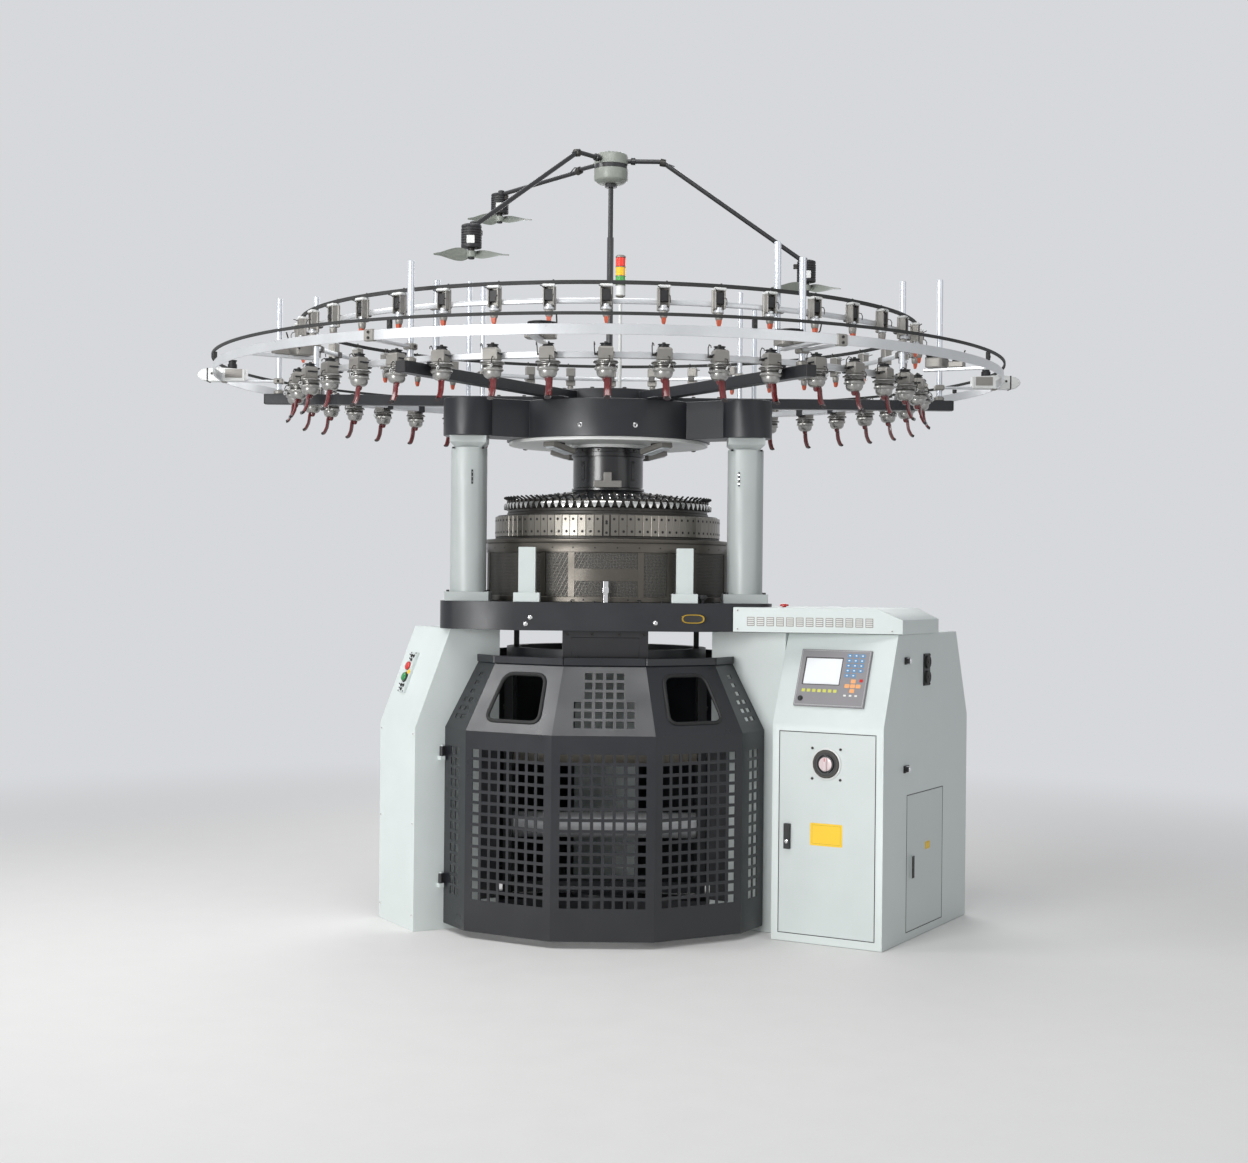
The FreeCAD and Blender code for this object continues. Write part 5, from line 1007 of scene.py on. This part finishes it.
def make_signal_lamp():
    """Stacked lamp on its pole."""
    dress("signal_pole", "pale_paint", 0.8)
    lamp = Shape()
    place = at(50, -120, 0)
    for z, name in ((2900, 2), (2950, 3), (2992, 1), (3036, 0)):
        top = z + (48 if z == 2900 else 42)
        lamp.lathe([(20, z + 0.4), (23.5, z + 2), (23.5, top - 3), (20, top - 1)], 32, name, place)
    for z in (2948, 2991, 3034):
        lamp.lathe([(20, z - 2), (24, z - 1), (24, z + 1), (20, z + 3)], 32, 4, place)
    lamp.lathe([(20, 3076), (24, 3078), (24, 3084), (18, 3089), (3, 3090)], 32, 4, place)
    lamp.lathe([(9, 2890), (22, 2897), (22, 2901)], 32, 4, place)
    lamp.piece("lamp_lenses", ["lens_red", "lens_yellow", "pale_paint", "lens_green", "alloy"], "frame",
               "lamp_red", ["signal_lamp"])


def blade(shape, finish, place, radius, twist):
    """Twisted fan blade from the hub outward along X."""
    layers = []
    for k in range(17):
        t = k / 16
        r = 15 + (radius - 15) * t
        width = 26 + 58 * math.sin(math.pi * min(1, 0.06 + t * 1.12) ** 0.8) * (1 - 0.25 * t)
        width *= 1 if k < 15 else (0.8, 0.45)[k - 15]
        turn = Matrix.Rotation(twist * (1 - 0.6 * t), 4, "X")
        section = [(-0.5, 2.0), (-0.25, -0.8), (0.1, -2.2), (0.5, 1.6), (0.2, 0.4), (-0.2, 1.4)]
        layers.append([turn @ Vector((0, y * width, z)) + Vector((r, 0, -4)) for y, z in section])
    shape.stack(layers, finish, place)


def make_fans(sizes):
    """Turning hub with its band, bent arms, finned motors and twisted blades."""
    dress("fan_mast", "black_paint", 0.8)
    hub = Shape()
    hub.lathe([(30, 3447.2), (58, 3447.2), (78, 3461), (80, 3465), (80, 3513), (78, 3514)], 48, 0)
    hub.lathe([(76, 3513.5), (79, 3514), (79, 3534), (76, 3534.5)], 48, 1)
    hub.lathe([(78, 3534), (80, 3535), (80, 3574), (76, 3582), (68, 3586), (30, 3587)], 48, 0)
    for i in range(6):
        hub.bolt(around(20 + 60 * i) @ at(55, 0, 3586), 5, 4, 2, 1)
    hub.piece("fan_turning_hub", ["ivory", "black_paint", "dark_steel"], "fan_head", "ivory", ["fan_hub"])
    arms = Shape()
    for name, angle, distance, z in FANS:
        place = around(angle)
        top = z + 127
        arms.tube([(74, 0, 3554), (226, 0, 3554), (240, 0, 3551), (252, 0, 3545), (distance - 12, 0, top - 6),
                   (distance, 0, top - 14)], 11, 12, 0, place)
        arms.lathe([(14, 0), (17, 2), (17, 22), (14, 24)], 20, 0,
                   place @ at(92, 0, 3554) @ Matrix.Rotation(math.pi / 2, 4, "Y"))
        lean = Matrix.Rotation(math.pi / 2 + 0.2, 4, "Y")
        arms.lathe([(14, -14), (18, -12), (18, 12), (14, 14)], 20, 1, place @ at(244, 0, 3549) @ lean)
        arms.tube([(236, 14, 3560), (250, 22, 3562), (262, 26, 3552), (300, 18, 3536)], 2.5, 6, 0, place)
        low = z + 22
        body = [(30, low), (44, low + 3), (45, low + 8)]
        for k in range(7):
            h = low + 12 + 11 * k
            body += [(45, h), (45, h + 6), (42, h + 7), (42, h + 10)]
        body += [(45, top - 12), (43, top - 4), (34, top), (8, top + 1)]
        arms.lathe(body, 40, 2, place @ at(distance, 0, 0))
        arms.lathe([(12, top - 1), (16, top), (16, top + 12), (10, top + 15)], 20, 2,
                   place @ at(distance - 12, 0, 0))
        arms.lathe([(6, z + 2), (6, z + 12.2), (14, z + 12.4), (14, z + 24)], 20, 1,
                   place @ at(distance, 0, 0))
        arms.block((distance - 62, -8, top - 40), (distance - 40, 8, top - 18), 1, place, 2)
        label = place @ at(distance, 0, 0) @ around(270 - angle)
        arms.slab(rounded(34, 34, 3), 44.6, 45.6, 3, label @ axes((0, 0, low + 34), (0, 1, 0), (0, 0, 1)))
    arms.piece("fan_motors", ["black_paint", "dark_steel", "black_plastic", "pale_paint"], "fan_head",
               "black_paint", ["fan_arms"])
    for name, angle, distance, z in FANS:
        fan = Shape()
        x, y = distance * math.cos(math.radians(angle)), distance * math.sin(math.radians(angle))
        fan.lathe([(2, -24), (12, -23.5), (14, -21), (14, -16)], 28, 1, at(x, y, z))
        fan.lathe([(12, -16), (20, -15), (21.5, -12), (21.5, 10), (19, 11.8), (7, 11.9)], 28, 0, at(x, y, z))
        for turn in (0, 180):
            blade(fan, 0, at(x, y, z) @ around(turn), 164, sizes.blade_twist)
        fan.piece("blades_" + name, ["ivory", "black_plastic"], "propeller_" + name, "ivory",
                  ["propeller_" + name])


# ---- bed, columns and legs ----
def beside(angle, u, v, z=0.0):
    """Point given along an arm: u outward, v anticlockwise."""
    return around(angle) @ Vector((u, v, z))


def make_structure():
    """Legs, bed, columns and posts with their screws, blank oval plate and knob."""
    dress("leg_left leg_right leg_rear", "casing", 5.0)
    dress("bed_plate base_frame", "frame_paint", 3.0)
    # The columns take the casing colour darkened as painted shade.
    dress("columns", "column_painted_shade", 3.0)
    # The posts take the casing colour, darkened a little as painted shade.
    dress("bed_posts", "casing_satin_painted_shade", 3.0)
    fittings = Shape()
    front = axes((0, -615, 0), (1, 0, 0), (0, 0, 1))
    oval = [(50 * math.copysign(abs(math.cos(a)) ** 0.55, math.cos(a)),
             20 * math.copysign(abs(math.sin(a)) ** 0.8, math.sin(a)))
            for a in [2 * math.pi * k / 40 for k in range(40)]]
    fittings.slab(oval, 0, 2.4, 0, front @ at(385, 1409, 0), 1.0)
    fittings.slab([(0.86 * x, 0.78 * y) for x, y in oval], 2.2, 2.7, 1, front @ at(385, 1409, 0))
    for x, y in ((220, 1389), (-330, 1409), (-350, 1380)):
        fittings.lathe([(10, 0), (10, 2), (8, 4), (5, 5)], 24, 2, front @ at(x, y, 0))
    fittings.lathe([(10, 1477.2), (10, 1492), (20, 1495), (22, 1500), (22, 1508), (18, 1513), (4, 1515)], 28,
                   3, at(425, -566, 0))
    for angle in (LEFT, RIGHT, REAR):
        x, y = beside(angle, 722, 0).xy
        for sx in (-1, 1):
            for sy in (-1, 1):
                fittings.bolt(at(x + 84 * sx, y + 84 * sy, 1518), 7, 8, 3, 4)
                fittings.bolt(at(x + 66 * sx, y + 66 * sy, 2168) @ Matrix.Rotation(math.pi, 4, "X"), 6, 8, 3,
                              4)
    for x, lean, z in ((625, -24, 2034), (-625, 14, 2034)):
        place = at(x, -361, 0) @ around(270 + lean)
        fittings.block((80.5, -4, z - 32), (83.2, 4, z + 32), 3, place, 0.8)
        for h in (z - 20, z, z + 20):
            fittings.lathe([(2.6, -1), (2.6, 1)], 8, 2, place @ axes((83, 0, h), (0, 1, 0), (0, 0, 1)))
    for turn in (0, 120, 240):
        for side in (-1, 1):
            for dx, dy in ((-46, -46), (46, -46)):
                fittings.bolt(around(turn) @ at(side * 348 + dx, -550 + dy, 1518), 5, 6, 3, 4)
    for i in range(36):
        if i % 3:
            fittings.bolt(around(10 * i + 5) @ at(590, 0, 1477), 6, 6, 3, 4)
    fittings.piece("bed_fittings", ["brass", "dark_steel", "chrome", "black_plastic", "hole_painted_shade"])
    trims = Shape()
    for angle, half in ((REAR, 160),):
        for v in (-half + 18, half - 18):
            for z in (80, 480, 860):
                trims.bolt(around(angle) @ at(975, v, z) @ Matrix.Rotation(math.pi / 2, 4, "Y"), 7, 4, 0, 1)
    for v in (-382, -18):
        for z in (70, 480, 880):
            trims.bolt(around(LEFT) @ at(975, v, z) @ Matrix.Rotation(math.pi / 2, 4, "Y"), 6, 3, 0, 1)
    trims.piece("casing_screws", ["pale_paint", "hole_painted_shade"])


def make_takedown():
    """Gear case, turning take-down frame and its rollers."""
    dress("cylinder_gear drive_pinion", "cam_steel", 0.8)
    dress("drive_box", "black_paint", 4.0)
    dress("takedown_frame", "frame_paint", 2.0)
    dress("takedown_roller_front takedown_roller_rear", "roller_rubber", 0.8)
    dress("windup_roller", "ring_metal", 0.8)
    plates = Shape()
    for side in (-1, 1):
        seat = axes((side * 470, 0, 0), (0, side, 0), (0, 0, 1))
        for y, z in ((-48, 760), (48, 760), (0, 420)):
            plates.ring([(18.5, 0), (34, 0), (36, 1.5), (36, 5), (30, 8), (18.5, 8.5)], 36, 0,
                        seat @ at(side * y, z, 0))
            for k in range(4):
                a = math.radians(45 + 90 * k)
                plates.bolt(seat @ at(side * y + 27 * math.cos(a), z + 27 * math.sin(a), 7), 4, 3.5, 1, 2)
        for z in (240, 560, 980, 1120):
            for y in (-120, 120):
                plates.bolt(seat @ at(y, z, 0), 9, 7, 1, 2)
    plates.piece("bearing_caps", ["alloy", "dark_steel", "hole_painted_shade"], "cylinder", "black_paint")
    case = Shape()
    front = axes((0, -558, 0), (1, 0, 0), (0, 0, 1))
    for x in (-170, -60, 60, 170):
        for y in (1222, 1335):
            case.bolt(front @ at(x, y, 0), 7, 5, 0, 1)
    case.block((-150, 1234, -1), (150, 1322, 3), 2, front, 3)
    case.piece("gear_case_screws", ["dark_steel", "hole_painted_shade", "black_paint"])


# ---- cabinet and controls ----
U_DIR, V_DIR = around(RIGHT) @ Vector((1, 0, 0)), around(RIGHT) @ Vector((0, 1, 0))


def door_place(u, z, proud=0.0):
    """Place on the cabinet's front: X outward along the arm, Y up, Z toward the operator."""
    return axes(beside(RIGHT, u, -130 - proud, z), U_DIR, (0, 0, 1))


def side_place(v, z, proud=0.0):
    """Place on the cabinet's outer side: X away from the front, Y up, Z outward."""
    return axes(beside(RIGHT, 1455 + proud, v, z), V_DIR, (0, 0, 1))


def outlined(shape, place, x0, x1, y0, y1, width, proud, finish):
    """Four thin strips round a rectangle."""
    for low, high in (((x0 - width, y0 - width), (x1 + width, y0)),
                      ((x0 - width, y1), (x1 + width, y1 + width)), ((x0 - width, y0), (x0, y1)),
                      ((x1, y0), (x1 + width, y1))):
        shape.block((*low, -0.6), (*high, proud), finish, place, 0.1)


def make_cabinet():
    """Cabinet casing, doors, seams, switch, latches, vents and blank yellow plates."""
    dress("cabinet_shell cabinet_cover", "casing", 5.0)
    # The doors take the casing colour, darkened a little as painted shade.
    dress("cabinet_door side_door", "casing_satin_painted_shade", 1.5)
    dress("side_latches door_handle switch_ring", "black_plastic", 2.0)
    dress("cabinet_vents", "black_plastic", 1.0)
    seams = Shape()
    outlined(seams, door_place(0, 0), 967.2, 1417.8, 39.2, 920.8, 2.6, 0.2, 0)
    outlined(seams, side_place(0, 0), 149.2, 595.8, 39.2, 640.8, 2.2, 0.4, 0)
    seams.piece("door_seams", ["rubber"], "frame", "white_paint")
    plates = Shape()
    plates.slab(rounded(152, 98, 6), 0, 0.9, 0, door_place(1192, 480), 0.3)
    outlined(plates, door_place(1192, 480), -66, 66, -40, 40, 0.8, 1.0, 1)
    plates.piece("front_plate", ["yellow_plate", "plate_line"], "cabinet_door", "white_paint")
    small = Shape()
    small.slab(rounded(58, 34, 4), 0, 0.9, 0, side_place(404, 395), 0.3)
    outlined(small, side_place(404, 395), -24, 24, -12, 12, 0.8, 1.0, 1)
    small.block((-13, -49, 11), (13, 49, 13.5), 2, side_place(200, 322), 1)
    small.block((-7, -40, 13), (7, 40, 15), 3, side_place(200, 322), 1)
    small.piece("side_plate", ["yellow_plate", "plate_line", "black_plastic", "dark_steel"], "side_door",
                "white_paint")

    ring = Shape()
    place = door_place(1190, 788)
    ring.ring([(62.5, -0.5), (70, -0.5), (70, 3), (67, 5), (62.5, 5)], 72, 0, place)
    ring.ring([(50, 7.6), (60.5, 7.6), (59, 9.4), (51, 9.4)], 72, 1, place)
    for sx in (-1, 1):
        for sy in (-1, 1):
            ring.bolt(place @ at(66 * sx, 66 * sy, 0), 6, 4, 1, 2)
    ring.piece("switch_trim", ["pale_paint", "dark_steel", "hole_painted_shade"], "cabinet_door", "black_plastic")
    knob = Shape()
    knob.lathe([(36, 0.4), (38, 2), (38, 9), (36, 11.5), (31, 12.5)], 48, 0, place)
    knob.lathe([(31, 11), (30, 14), (27, 14.6), (4, 14.8)], 48, 1, place)
    knob.block((-9, -30, 13), (9, 30, 24.2), 1, place, 4)
    knob.block((-2, 12, 23.5), (2, 27, 24.6), 2, place, 0.5)
    knob.piece("switch_knob", ["black_plastic", "knob_pink", "red_button"], "main_switch", "black_plastic",
               ["main_switch"])
    lock = Shape()
    lock.lathe([(8, 17.8), (8, 19.6), (6.5, 20)], 20, 0, door_place(1010, 440))
    # A near-black bar across the lock is painted shade of its key slot.
    lock.block((-1, -4, 19.6), (1, 4, 20.3), 1, door_place(1010, 440), 0.2)
    lock.block((-8, -10, 17.6), (8, 46, 19), 2, door_place(1010, 463), 1)
    lock.piece("handle_lock", ["chrome", "hole_painted_shade", "black_plastic"], "door_handle", "black_plastic")

    side = Shape()
    for z in (760, 1235):
        place = side_place(130, z)
        for x in (-22, 22):
            side.bolt(place @ at(x, 0, 6), 5, 3, 0, 1)
        side.tube([(-20, -12, 8), (16, -12, 12), (22, 0, 14), (16, 12, 12), (-20, 12, 8)], 2.6, 8, 2, place)
        side.block((-16, -10, 19), (4, 10, 22), 2, place, 1.5)
    for z in (1154, 1222):
        place = side_place(370, z, 12)
        for r in (8, 15, 22, 28):
            side.ring([(r - 0.9, -1), (r + 0.9, -1), (r + 0.9, 1), (r - 0.9, 1)], 32, 0, place)
        for k in range(4):
            a = math.pi * k / 4
            side.tube([(28 * math.cos(a), 28 * math.sin(a), 0), (-28 * math.cos(a), -28 * math.sin(a), 0)],
                      0.9, 6, 0, place)
        side.lathe([(7, 0), (7, 2), (5, 3)], 16, 0, place)
    for x in (-33, 33):
        for y in (-65, 65):
            side.bolt(side_place(370, 1188) @ at(x, y, 4), 4, 3, 0, 1)
    side.piece("side_hardware", ["dark_steel", "hole_painted_shade", "chrome"], "frame", "black_plastic")

    cover = Shape()
    run = Vector((725, -175, 0)).normalized()
    face = axes((565, -541, 0), run, (0, 0, 1))
    for i in range(13):
        x = 62 + 43.5 * i
        cover.block((x, 1380, -0.8), (x + 34, 1420, 0.8), 0, face, 0.6)
        for k in range(4):
            cover.block((x + 3, 1384 + 9 * k, 0.4), (x + 31, 1389 + 9 * k, 2.4), 1, face, 0.8)
    for x, y in ((20, 1366), (20, 1448), (700, 1366)):
        cover.bolt(face @ at(x, y, 0), 5, 3, 1, 2)
    # A near-black line under the louvres is painted shade of a gap.
    cover.block((2, 1351.4, -1), (742, 1353.4, 0.5), 2, face, 0.2)
    cover.piece("cover_louvres", ["alloy", "pale_paint", "hole_painted_shade"], "frame", "white_paint")


def make_panel():
    """Operating panel: pale screen, membrane keys and a small knob on a grey bezel."""
    dress("operator_panel", "bezel", 2.0)
    slope = (V_DIR * 160 + Vector((0, 0, 394))).normalized()
    place = axes(beside(RIGHT, 0, -130, 958), U_DIR, slope)
    panel = Shape()
    panel.slab([(1049, 181), (1219, 181), (1219, 301), (1049, 301)], 9.8, 10.6, 0, place)
    outlined(panel, place, 1048, 1220, 180, 302, 3, 15.2, 1)
    keys = place @ at(0, 0, 13.8)
    for column in range(3):
        for row in range(5):
            if row < 4 or column < 2:
                x, y = 1252 + 30 * column, 316 - 23 * row
                panel.slab([(x + a, y + b) for a, b in rounded(22, 16, 3)], 0, 1.4, 2, keys, 0.4)
                panel.slab([(x + a, y + b) for a, b in rounded(8, 5, 1)], 1.3, 1.6, 5, keys)
    for x, y in ((0, 22), (0, -22), (-26, 0), (26, 0), (0, 0)):
        panel.slab([(1286 + x + a, 176 + y + b) for a, b in rounded(23, 18, 4)], 0, 1.4, 3, keys, 0.4)
    panel.slab([(1322 + a, 202 + b) for a, b in rounded(16, 14, 3)], 0, 1.4, 6, keys, 0.4)
    for i in range(7):
        panel.slab([(1058 + 25 * i + a, 150 + b) for a, b in rounded(16, 14, 2)], 0, 1.4, 4, keys, 0.4)
    for i in range(3):
        panel.slab([(1256 + 26 * i + a, 132 + b) for a, b in rounded(12, 8, 2)], 0, 1.2, 5, keys, 0.3)
    panel.lathe([(12, 0), (12, 2), (8, 3), (8, 11), (6, 12), (2, 12.2)], 24, 7, keys @ at(1050, 112, 0))
    outlined(panel, place, 1026, 1344, 85, 336, 1.0, 14.4, 8)
    panel.piece("panel_keys", ["screen", "dark_steel", "key_blue", "key_orange", "key_lime", "key_white",
                               "red_button", "black_plastic", "pale_paint"], "frame", "panel_grey")


def strip_place(s, proud=0.0):
    """Place on the left leg's sloping face."""
    slope = (around(LEFT) @ Vector((-170, 0, 444))).normalized()
    across = around(LEFT) @ Vector((0, 1, 0))
    return axes(beside(LEFT, 975, -270, 908), across, slope) @ at(0, s, proud)


def mushroom(name, place, finish, body, slot, node):
    """Push button with a domed cap."""
    button = Shape()
    button.lathe([(9, -6.5), (9, 4.8), (18, 5.2), (20, 7.5), (20, 11), (17, 14.5), (11, 16.4), (3, 17)], 36,
                 0, place)
    button.piece(name, [finish], body, slot, [node])


def make_buttons():
    """Control strip on the left leg, its buttons and the red button on the cover."""
    # The strip takes the casing colour, darkened a little as painted shade.
    dress("button_strip", "casing_satin_painted_shade", 2.5)
    strip = Shape()
    for s, finish in ((275, 1), (222, 0)):
        strip.ring([(20.5, -0.3), (25, -0.3), (25, 2.5), (23.5, 4), (20.5, 4)], 36, finish,
                   strip_place(s, 14))
    strip.lathe([(11, 0), (11, 3), (9, 6), (4, 7.5)], 24, 2, strip_place(248, 14) @ at(20, 0, 0))
    for s, x in ((325, -12), (325, 12), (306, 0), (182, -12), (182, 12), (164, 0)):
        strip.lathe([(8, 0), (8, 2.5), (6, 3)], 18, 0, strip_place(s, 14) @ at(x, 0, 0))
        strip.tube([(0, 0, 2), (0, 3, 9), (0, 5, 14)], 2.4, 8, 3, strip_place(s, 14) @ at(x, 0, 0))
    for s in (155, 340):
        for x in (-25, 25):
            strip.bolt(strip_place(s, 14) @ at(x, 0, 0), 3.2, 2.5, 3, 0)
    strip.piece("strip_switches", ["black_plastic", "pale_paint", "lens_yellow", "dark_steel"], "frame",
                "black_plastic")
    mushroom("stop_cap", strip_place(275, 14), "red_button", "stop_button", "lever_red", "stop_button")
    mushroom("start_cap", strip_place(222, 14), "green_button", "start_button", "button_green",
             "start_button")
    mushroom("cover_cap", at(800, -440, 1462), "red_button", "cover_button", "lever_red", "cover_button")


# ---- stage ----
def seen_rays(tree):
    """One for rays that show the background: seen directly, in gloss or through something clear."""
    rays = tree.nodes.new("ShaderNodeLightPath")
    result = rays.outputs["Is Camera Ray"]
    for name in ("Is Glossy Ray", "Is Transmission Ray"):
        either = tree.nodes.new("ShaderNodeMath")
        either.operation = "MAXIMUM"
        tree.links.new(result, either.inputs[0])
        tree.links.new(rays.outputs[name], either.inputs[1])
        result = either.outputs[0]
    return result


def fade_floor(material, colours):
    """Let the floor run out into the plain background, well away from the machine."""
    tree = material.node_tree
    out, shader = tree.nodes["Material Output"], tree.nodes["Principled BSDF"]
    where, length = tree.nodes.new("ShaderNodeTexCoord"), tree.nodes.new("ShaderNodeVectorMath")
    length.operation = "LENGTH"
    tree.links.new(where.outputs["Object"], length.inputs[0])
    far = tree.nodes.new("ShaderNodeMapRange")
    far.interpolation_type = "SMOOTHSTEP"
    far.inputs["From Min"].default_value, far.inputs["From Max"].default_value = 2.6, 7.5
    tree.links.new(length.outputs["Value"], far.inputs["Value"])
    both = tree.nodes.new("ShaderNodeMath")
    both.operation = "MULTIPLY"
    tree.links.new(far.outputs["Result"], both.inputs[0])
    tree.links.new(seen_rays(tree), both.inputs[1])
    plain, mix = tree.nodes.new("ShaderNodeEmission"), tree.nodes.new("ShaderNodeMixShader")
    plain.inputs["Color"].default_value = (*linear(colours.backdrop), 1)
    tree.links.new(both.outputs[0], mix.inputs[0])
    tree.links.new(shader.outputs[0], mix.inputs[1])
    tree.links.new(plain.outputs[0], mix.inputs[2])
    tree.links.new(mix.outputs[0], out.inputs["Surface"])


def make_stage(colours, sizes):
    """Pale floor and backdrop, soft lamps, world and camera."""
    finish("stage_floor", colours.floor, 0.7, relief=0.01, mottle=0.01, grain=60.0)
    fade_floor(FINISHES["stage_floor"], colours)
    mesh = bpy.data.meshes.new("stage_floor")
    mesh.from_pydata([(80 * math.cos(math.radians(5 * i)), 80 * math.sin(math.radians(5 * i)),
                       0) for i in range(72)], [], [list(range(72))])
    mesh.materials.append(FINISHES["stage_floor"])
    floor = bpy.data.objects.new("stage_floor", mesh)
    bpy.context.scene.collection.objects.link(floor)
    floor.location.z = -0.0005

    world = bpy.data.worlds.new("soft_room")
    bpy.context.scene.world = world
    world.use_nodes = True
    tree = world.node_tree
    tree.nodes.clear()
    out = tree.nodes.new("ShaderNodeOutputWorld")
    mix = tree.nodes.new("ShaderNodeMixShader")
    light, seen = tree.nodes.new("ShaderNodeBackground"), tree.nodes.new("ShaderNodeBackground")
    light.inputs["Color"].default_value = (0.93, 0.95, 1.0, 1)
    light.inputs["Strength"].default_value = 0.31
    seen.inputs["Color"].default_value = (*linear(colours.backdrop), 1)
    seen.inputs["Strength"].default_value = 1.0
    tree.links.new(seen_rays(tree), mix.inputs[0])
    tree.links.new(light.outputs[0], mix.inputs[1])
    tree.links.new(seen.outputs[0], mix.inputs[2])
    tree.links.new(mix.outputs[0], out.inputs[0])

    for name, place, aim, size, power in (("key_lamp", (-7.2, -10.4, 2.6), (0, 0, 1.4), 4.0, 880),
                                          ("fill_lamp", (6.0, -5.6, 3.0), (0.4, 0, 1.3), 4.0, 45),
                                          ("left_lamp", (-4.1, -1.2, 5.0), (-0.3, -0.5, 1.0), 2.2, 95),
                                          ("top_lamp", (-0.2, -3.2, 5.6), (0, -0.5, 1.0), 2.4, 90),
                                          ("back_lamp", (0.6, 5.0, 4.4), (0, 0, 1.6), 4.0, 110)):
        lamp = bpy.data.lights.new(name, "AREA")
        lamp.size = size
        lamp.energy = power
        holder = bpy.data.objects.new(name, lamp)
        holder.location = place
        holder.rotation_euler = (Vector(aim) - Vector(place)).to_track_quat("-Z", "Y").to_euler()
        bpy.context.scene.collection.objects.link(holder)

    camera = bpy.data.cameras.new("front_camera")
    camera.lens = sizes.lens
    camera.sensor_width = 36.0
    camera.shift_y = -0.0028
    holder = bpy.data.objects.new("front_camera", camera)
    holder.matrix_world = (Matrix.Translation((0.080, -8.600, 1.586)) @ Matrix.Rotation(math.pi / 2, 4, "X")
                           @ Matrix.Rotation(0.01, 4, "Z"))
    bpy.context.scene.collection.objects.link(holder)
    bpy.context.scene.camera = holder
    bpy.context.scene.view_settings.view_transform = "Standard"


# ---- add-on ----
class KNITTING_OT_stage(bpy.types.Operator):
    """Set the floor, lamps and camera, and make every finish"""
    bl_idname = "knitting.stage"
    bl_label = "Stage and finishes"

    def execute(self, context):
        make_finishes(context.scene.knitting_colours)
        make_stage(context.scene.knitting_colours, context.scene.knitting_sizes)
        return {"FINISHED"}


class KNITTING_OT_structure(bpy.types.Operator):
    """Finish the legs, bed, columns and posts"""
    bl_idname = "knitting.structure"
    bl_label = "Structure"

    def execute(self, context):
        make_structure()
        return {"FINISHED"}


class KNITTING_OT_guard(bpy.types.Operator):
    """Fold the perforated gate and finish the rear guards"""
    bl_idname = "knitting.guard"
    bl_label = "Sheet guard"

    def execute(self, context):
        make_gate(context.scene.knitting_sizes)
        return {"FINISHED"}


class KNITTING_OT_head(bpy.types.Operator):
    """Build the lower drum, cam ring, yarn holders and centre housing"""
    bl_idname = "knitting.head"
    bl_label = "Knitting head"

    def execute(self, context):
        sizes = context.scene.knitting_sizes
        make_drum()
        make_cams(sizes)
        make_crown(sizes)
        make_head()
        return {"FINISHED"}


class KNITTING_OT_takedown(bpy.types.Operator):
    """Finish the gear case, take-down frame and rollers"""
    bl_idname = "knitting.takedown"
    bl_label = "Take-down"

    def execute(self, context):
        make_takedown()
        return {"FINISHED"}


class KNITTING_OT_creel(bpy.types.Operator):
    """Build the feeder rings, feeders, belts and rods of the creel"""
    bl_idname = "knitting.creel"
    bl_label = "Creel"

    def execute(self, context):
        sizes = context.scene.knitting_sizes
        make_creel(sizes)
        make_storage_feeders(sizes)
        make_guide_units()
        make_belts()
        make_outer_ring()
        return {"FINISHED"}


class KNITTING_OT_fans(bpy.types.Operator):
    """Build the signal lamp and the lint fans"""
    bl_idname = "knitting.fans"
    bl_label = "Lamp and lint fans"

    def execute(self, context):
        make_signal_lamp()
        make_fans(context.scene.knitting_sizes)
        return {"FINISHED"}


class KNITTING_OT_cabinet(bpy.types.Operator):
    """Build the cabinet's details, the operating panel and the buttons"""
    bl_idname = "knitting.cabinet"
    bl_label = "Cabinet and controls"

    def execute(self, context):
        make_cabinet()
        make_panel()
        make_buttons()
        return {"FINISHED"}


STEPS = (KNITTING_OT_stage, KNITTING_OT_structure, KNITTING_OT_guard, KNITTING_OT_head, KNITTING_OT_takedown,
         KNITTING_OT_creel, KNITTING_OT_fans, KNITTING_OT_cabinet)


class KNITTING_PT_panel(bpy.types.Panel):
    """Lists the machine's pieces and settings"""
    bl_idname = "KNITTING_PT_panel"
    bl_label = "Circular knitting machine"
    bl_space_type = "VIEW_3D"
    bl_region_type = "UI"
    bl_category = "Knitting"

    def draw(self, context):
        for step in STEPS:
            self.layout.operator(step.bl_idname)
        for group in (context.scene.knitting_colours, context.scene.knitting_sizes):
            box = self.layout.box()
            for key in group.__annotations__:
                box.prop(group, key)


CLASSES = (KnittingColours, KnittingSizes, *STEPS, KNITTING_PT_panel)


def register():
    for item in CLASSES:
        bpy.utils.register_class(item)
    bpy.types.Scene.knitting_colours = PointerProperty(type=KnittingColours)
    bpy.types.Scene.knitting_sizes = PointerProperty(type=KnittingSizes)


def unregister():
    del bpy.types.Scene.knitting_sizes
    del bpy.types.Scene.knitting_colours
    for item in reversed(CLASSES):
        bpy.utils.unregister_class(item)


def main():
    """Build the whole machine."""
    register()
    for step in STEPS:
        area, name = step.bl_idname.split(".")
        getattr(getattr(bpy.ops, area), name)()


if __name__ == "__main__":
    main()
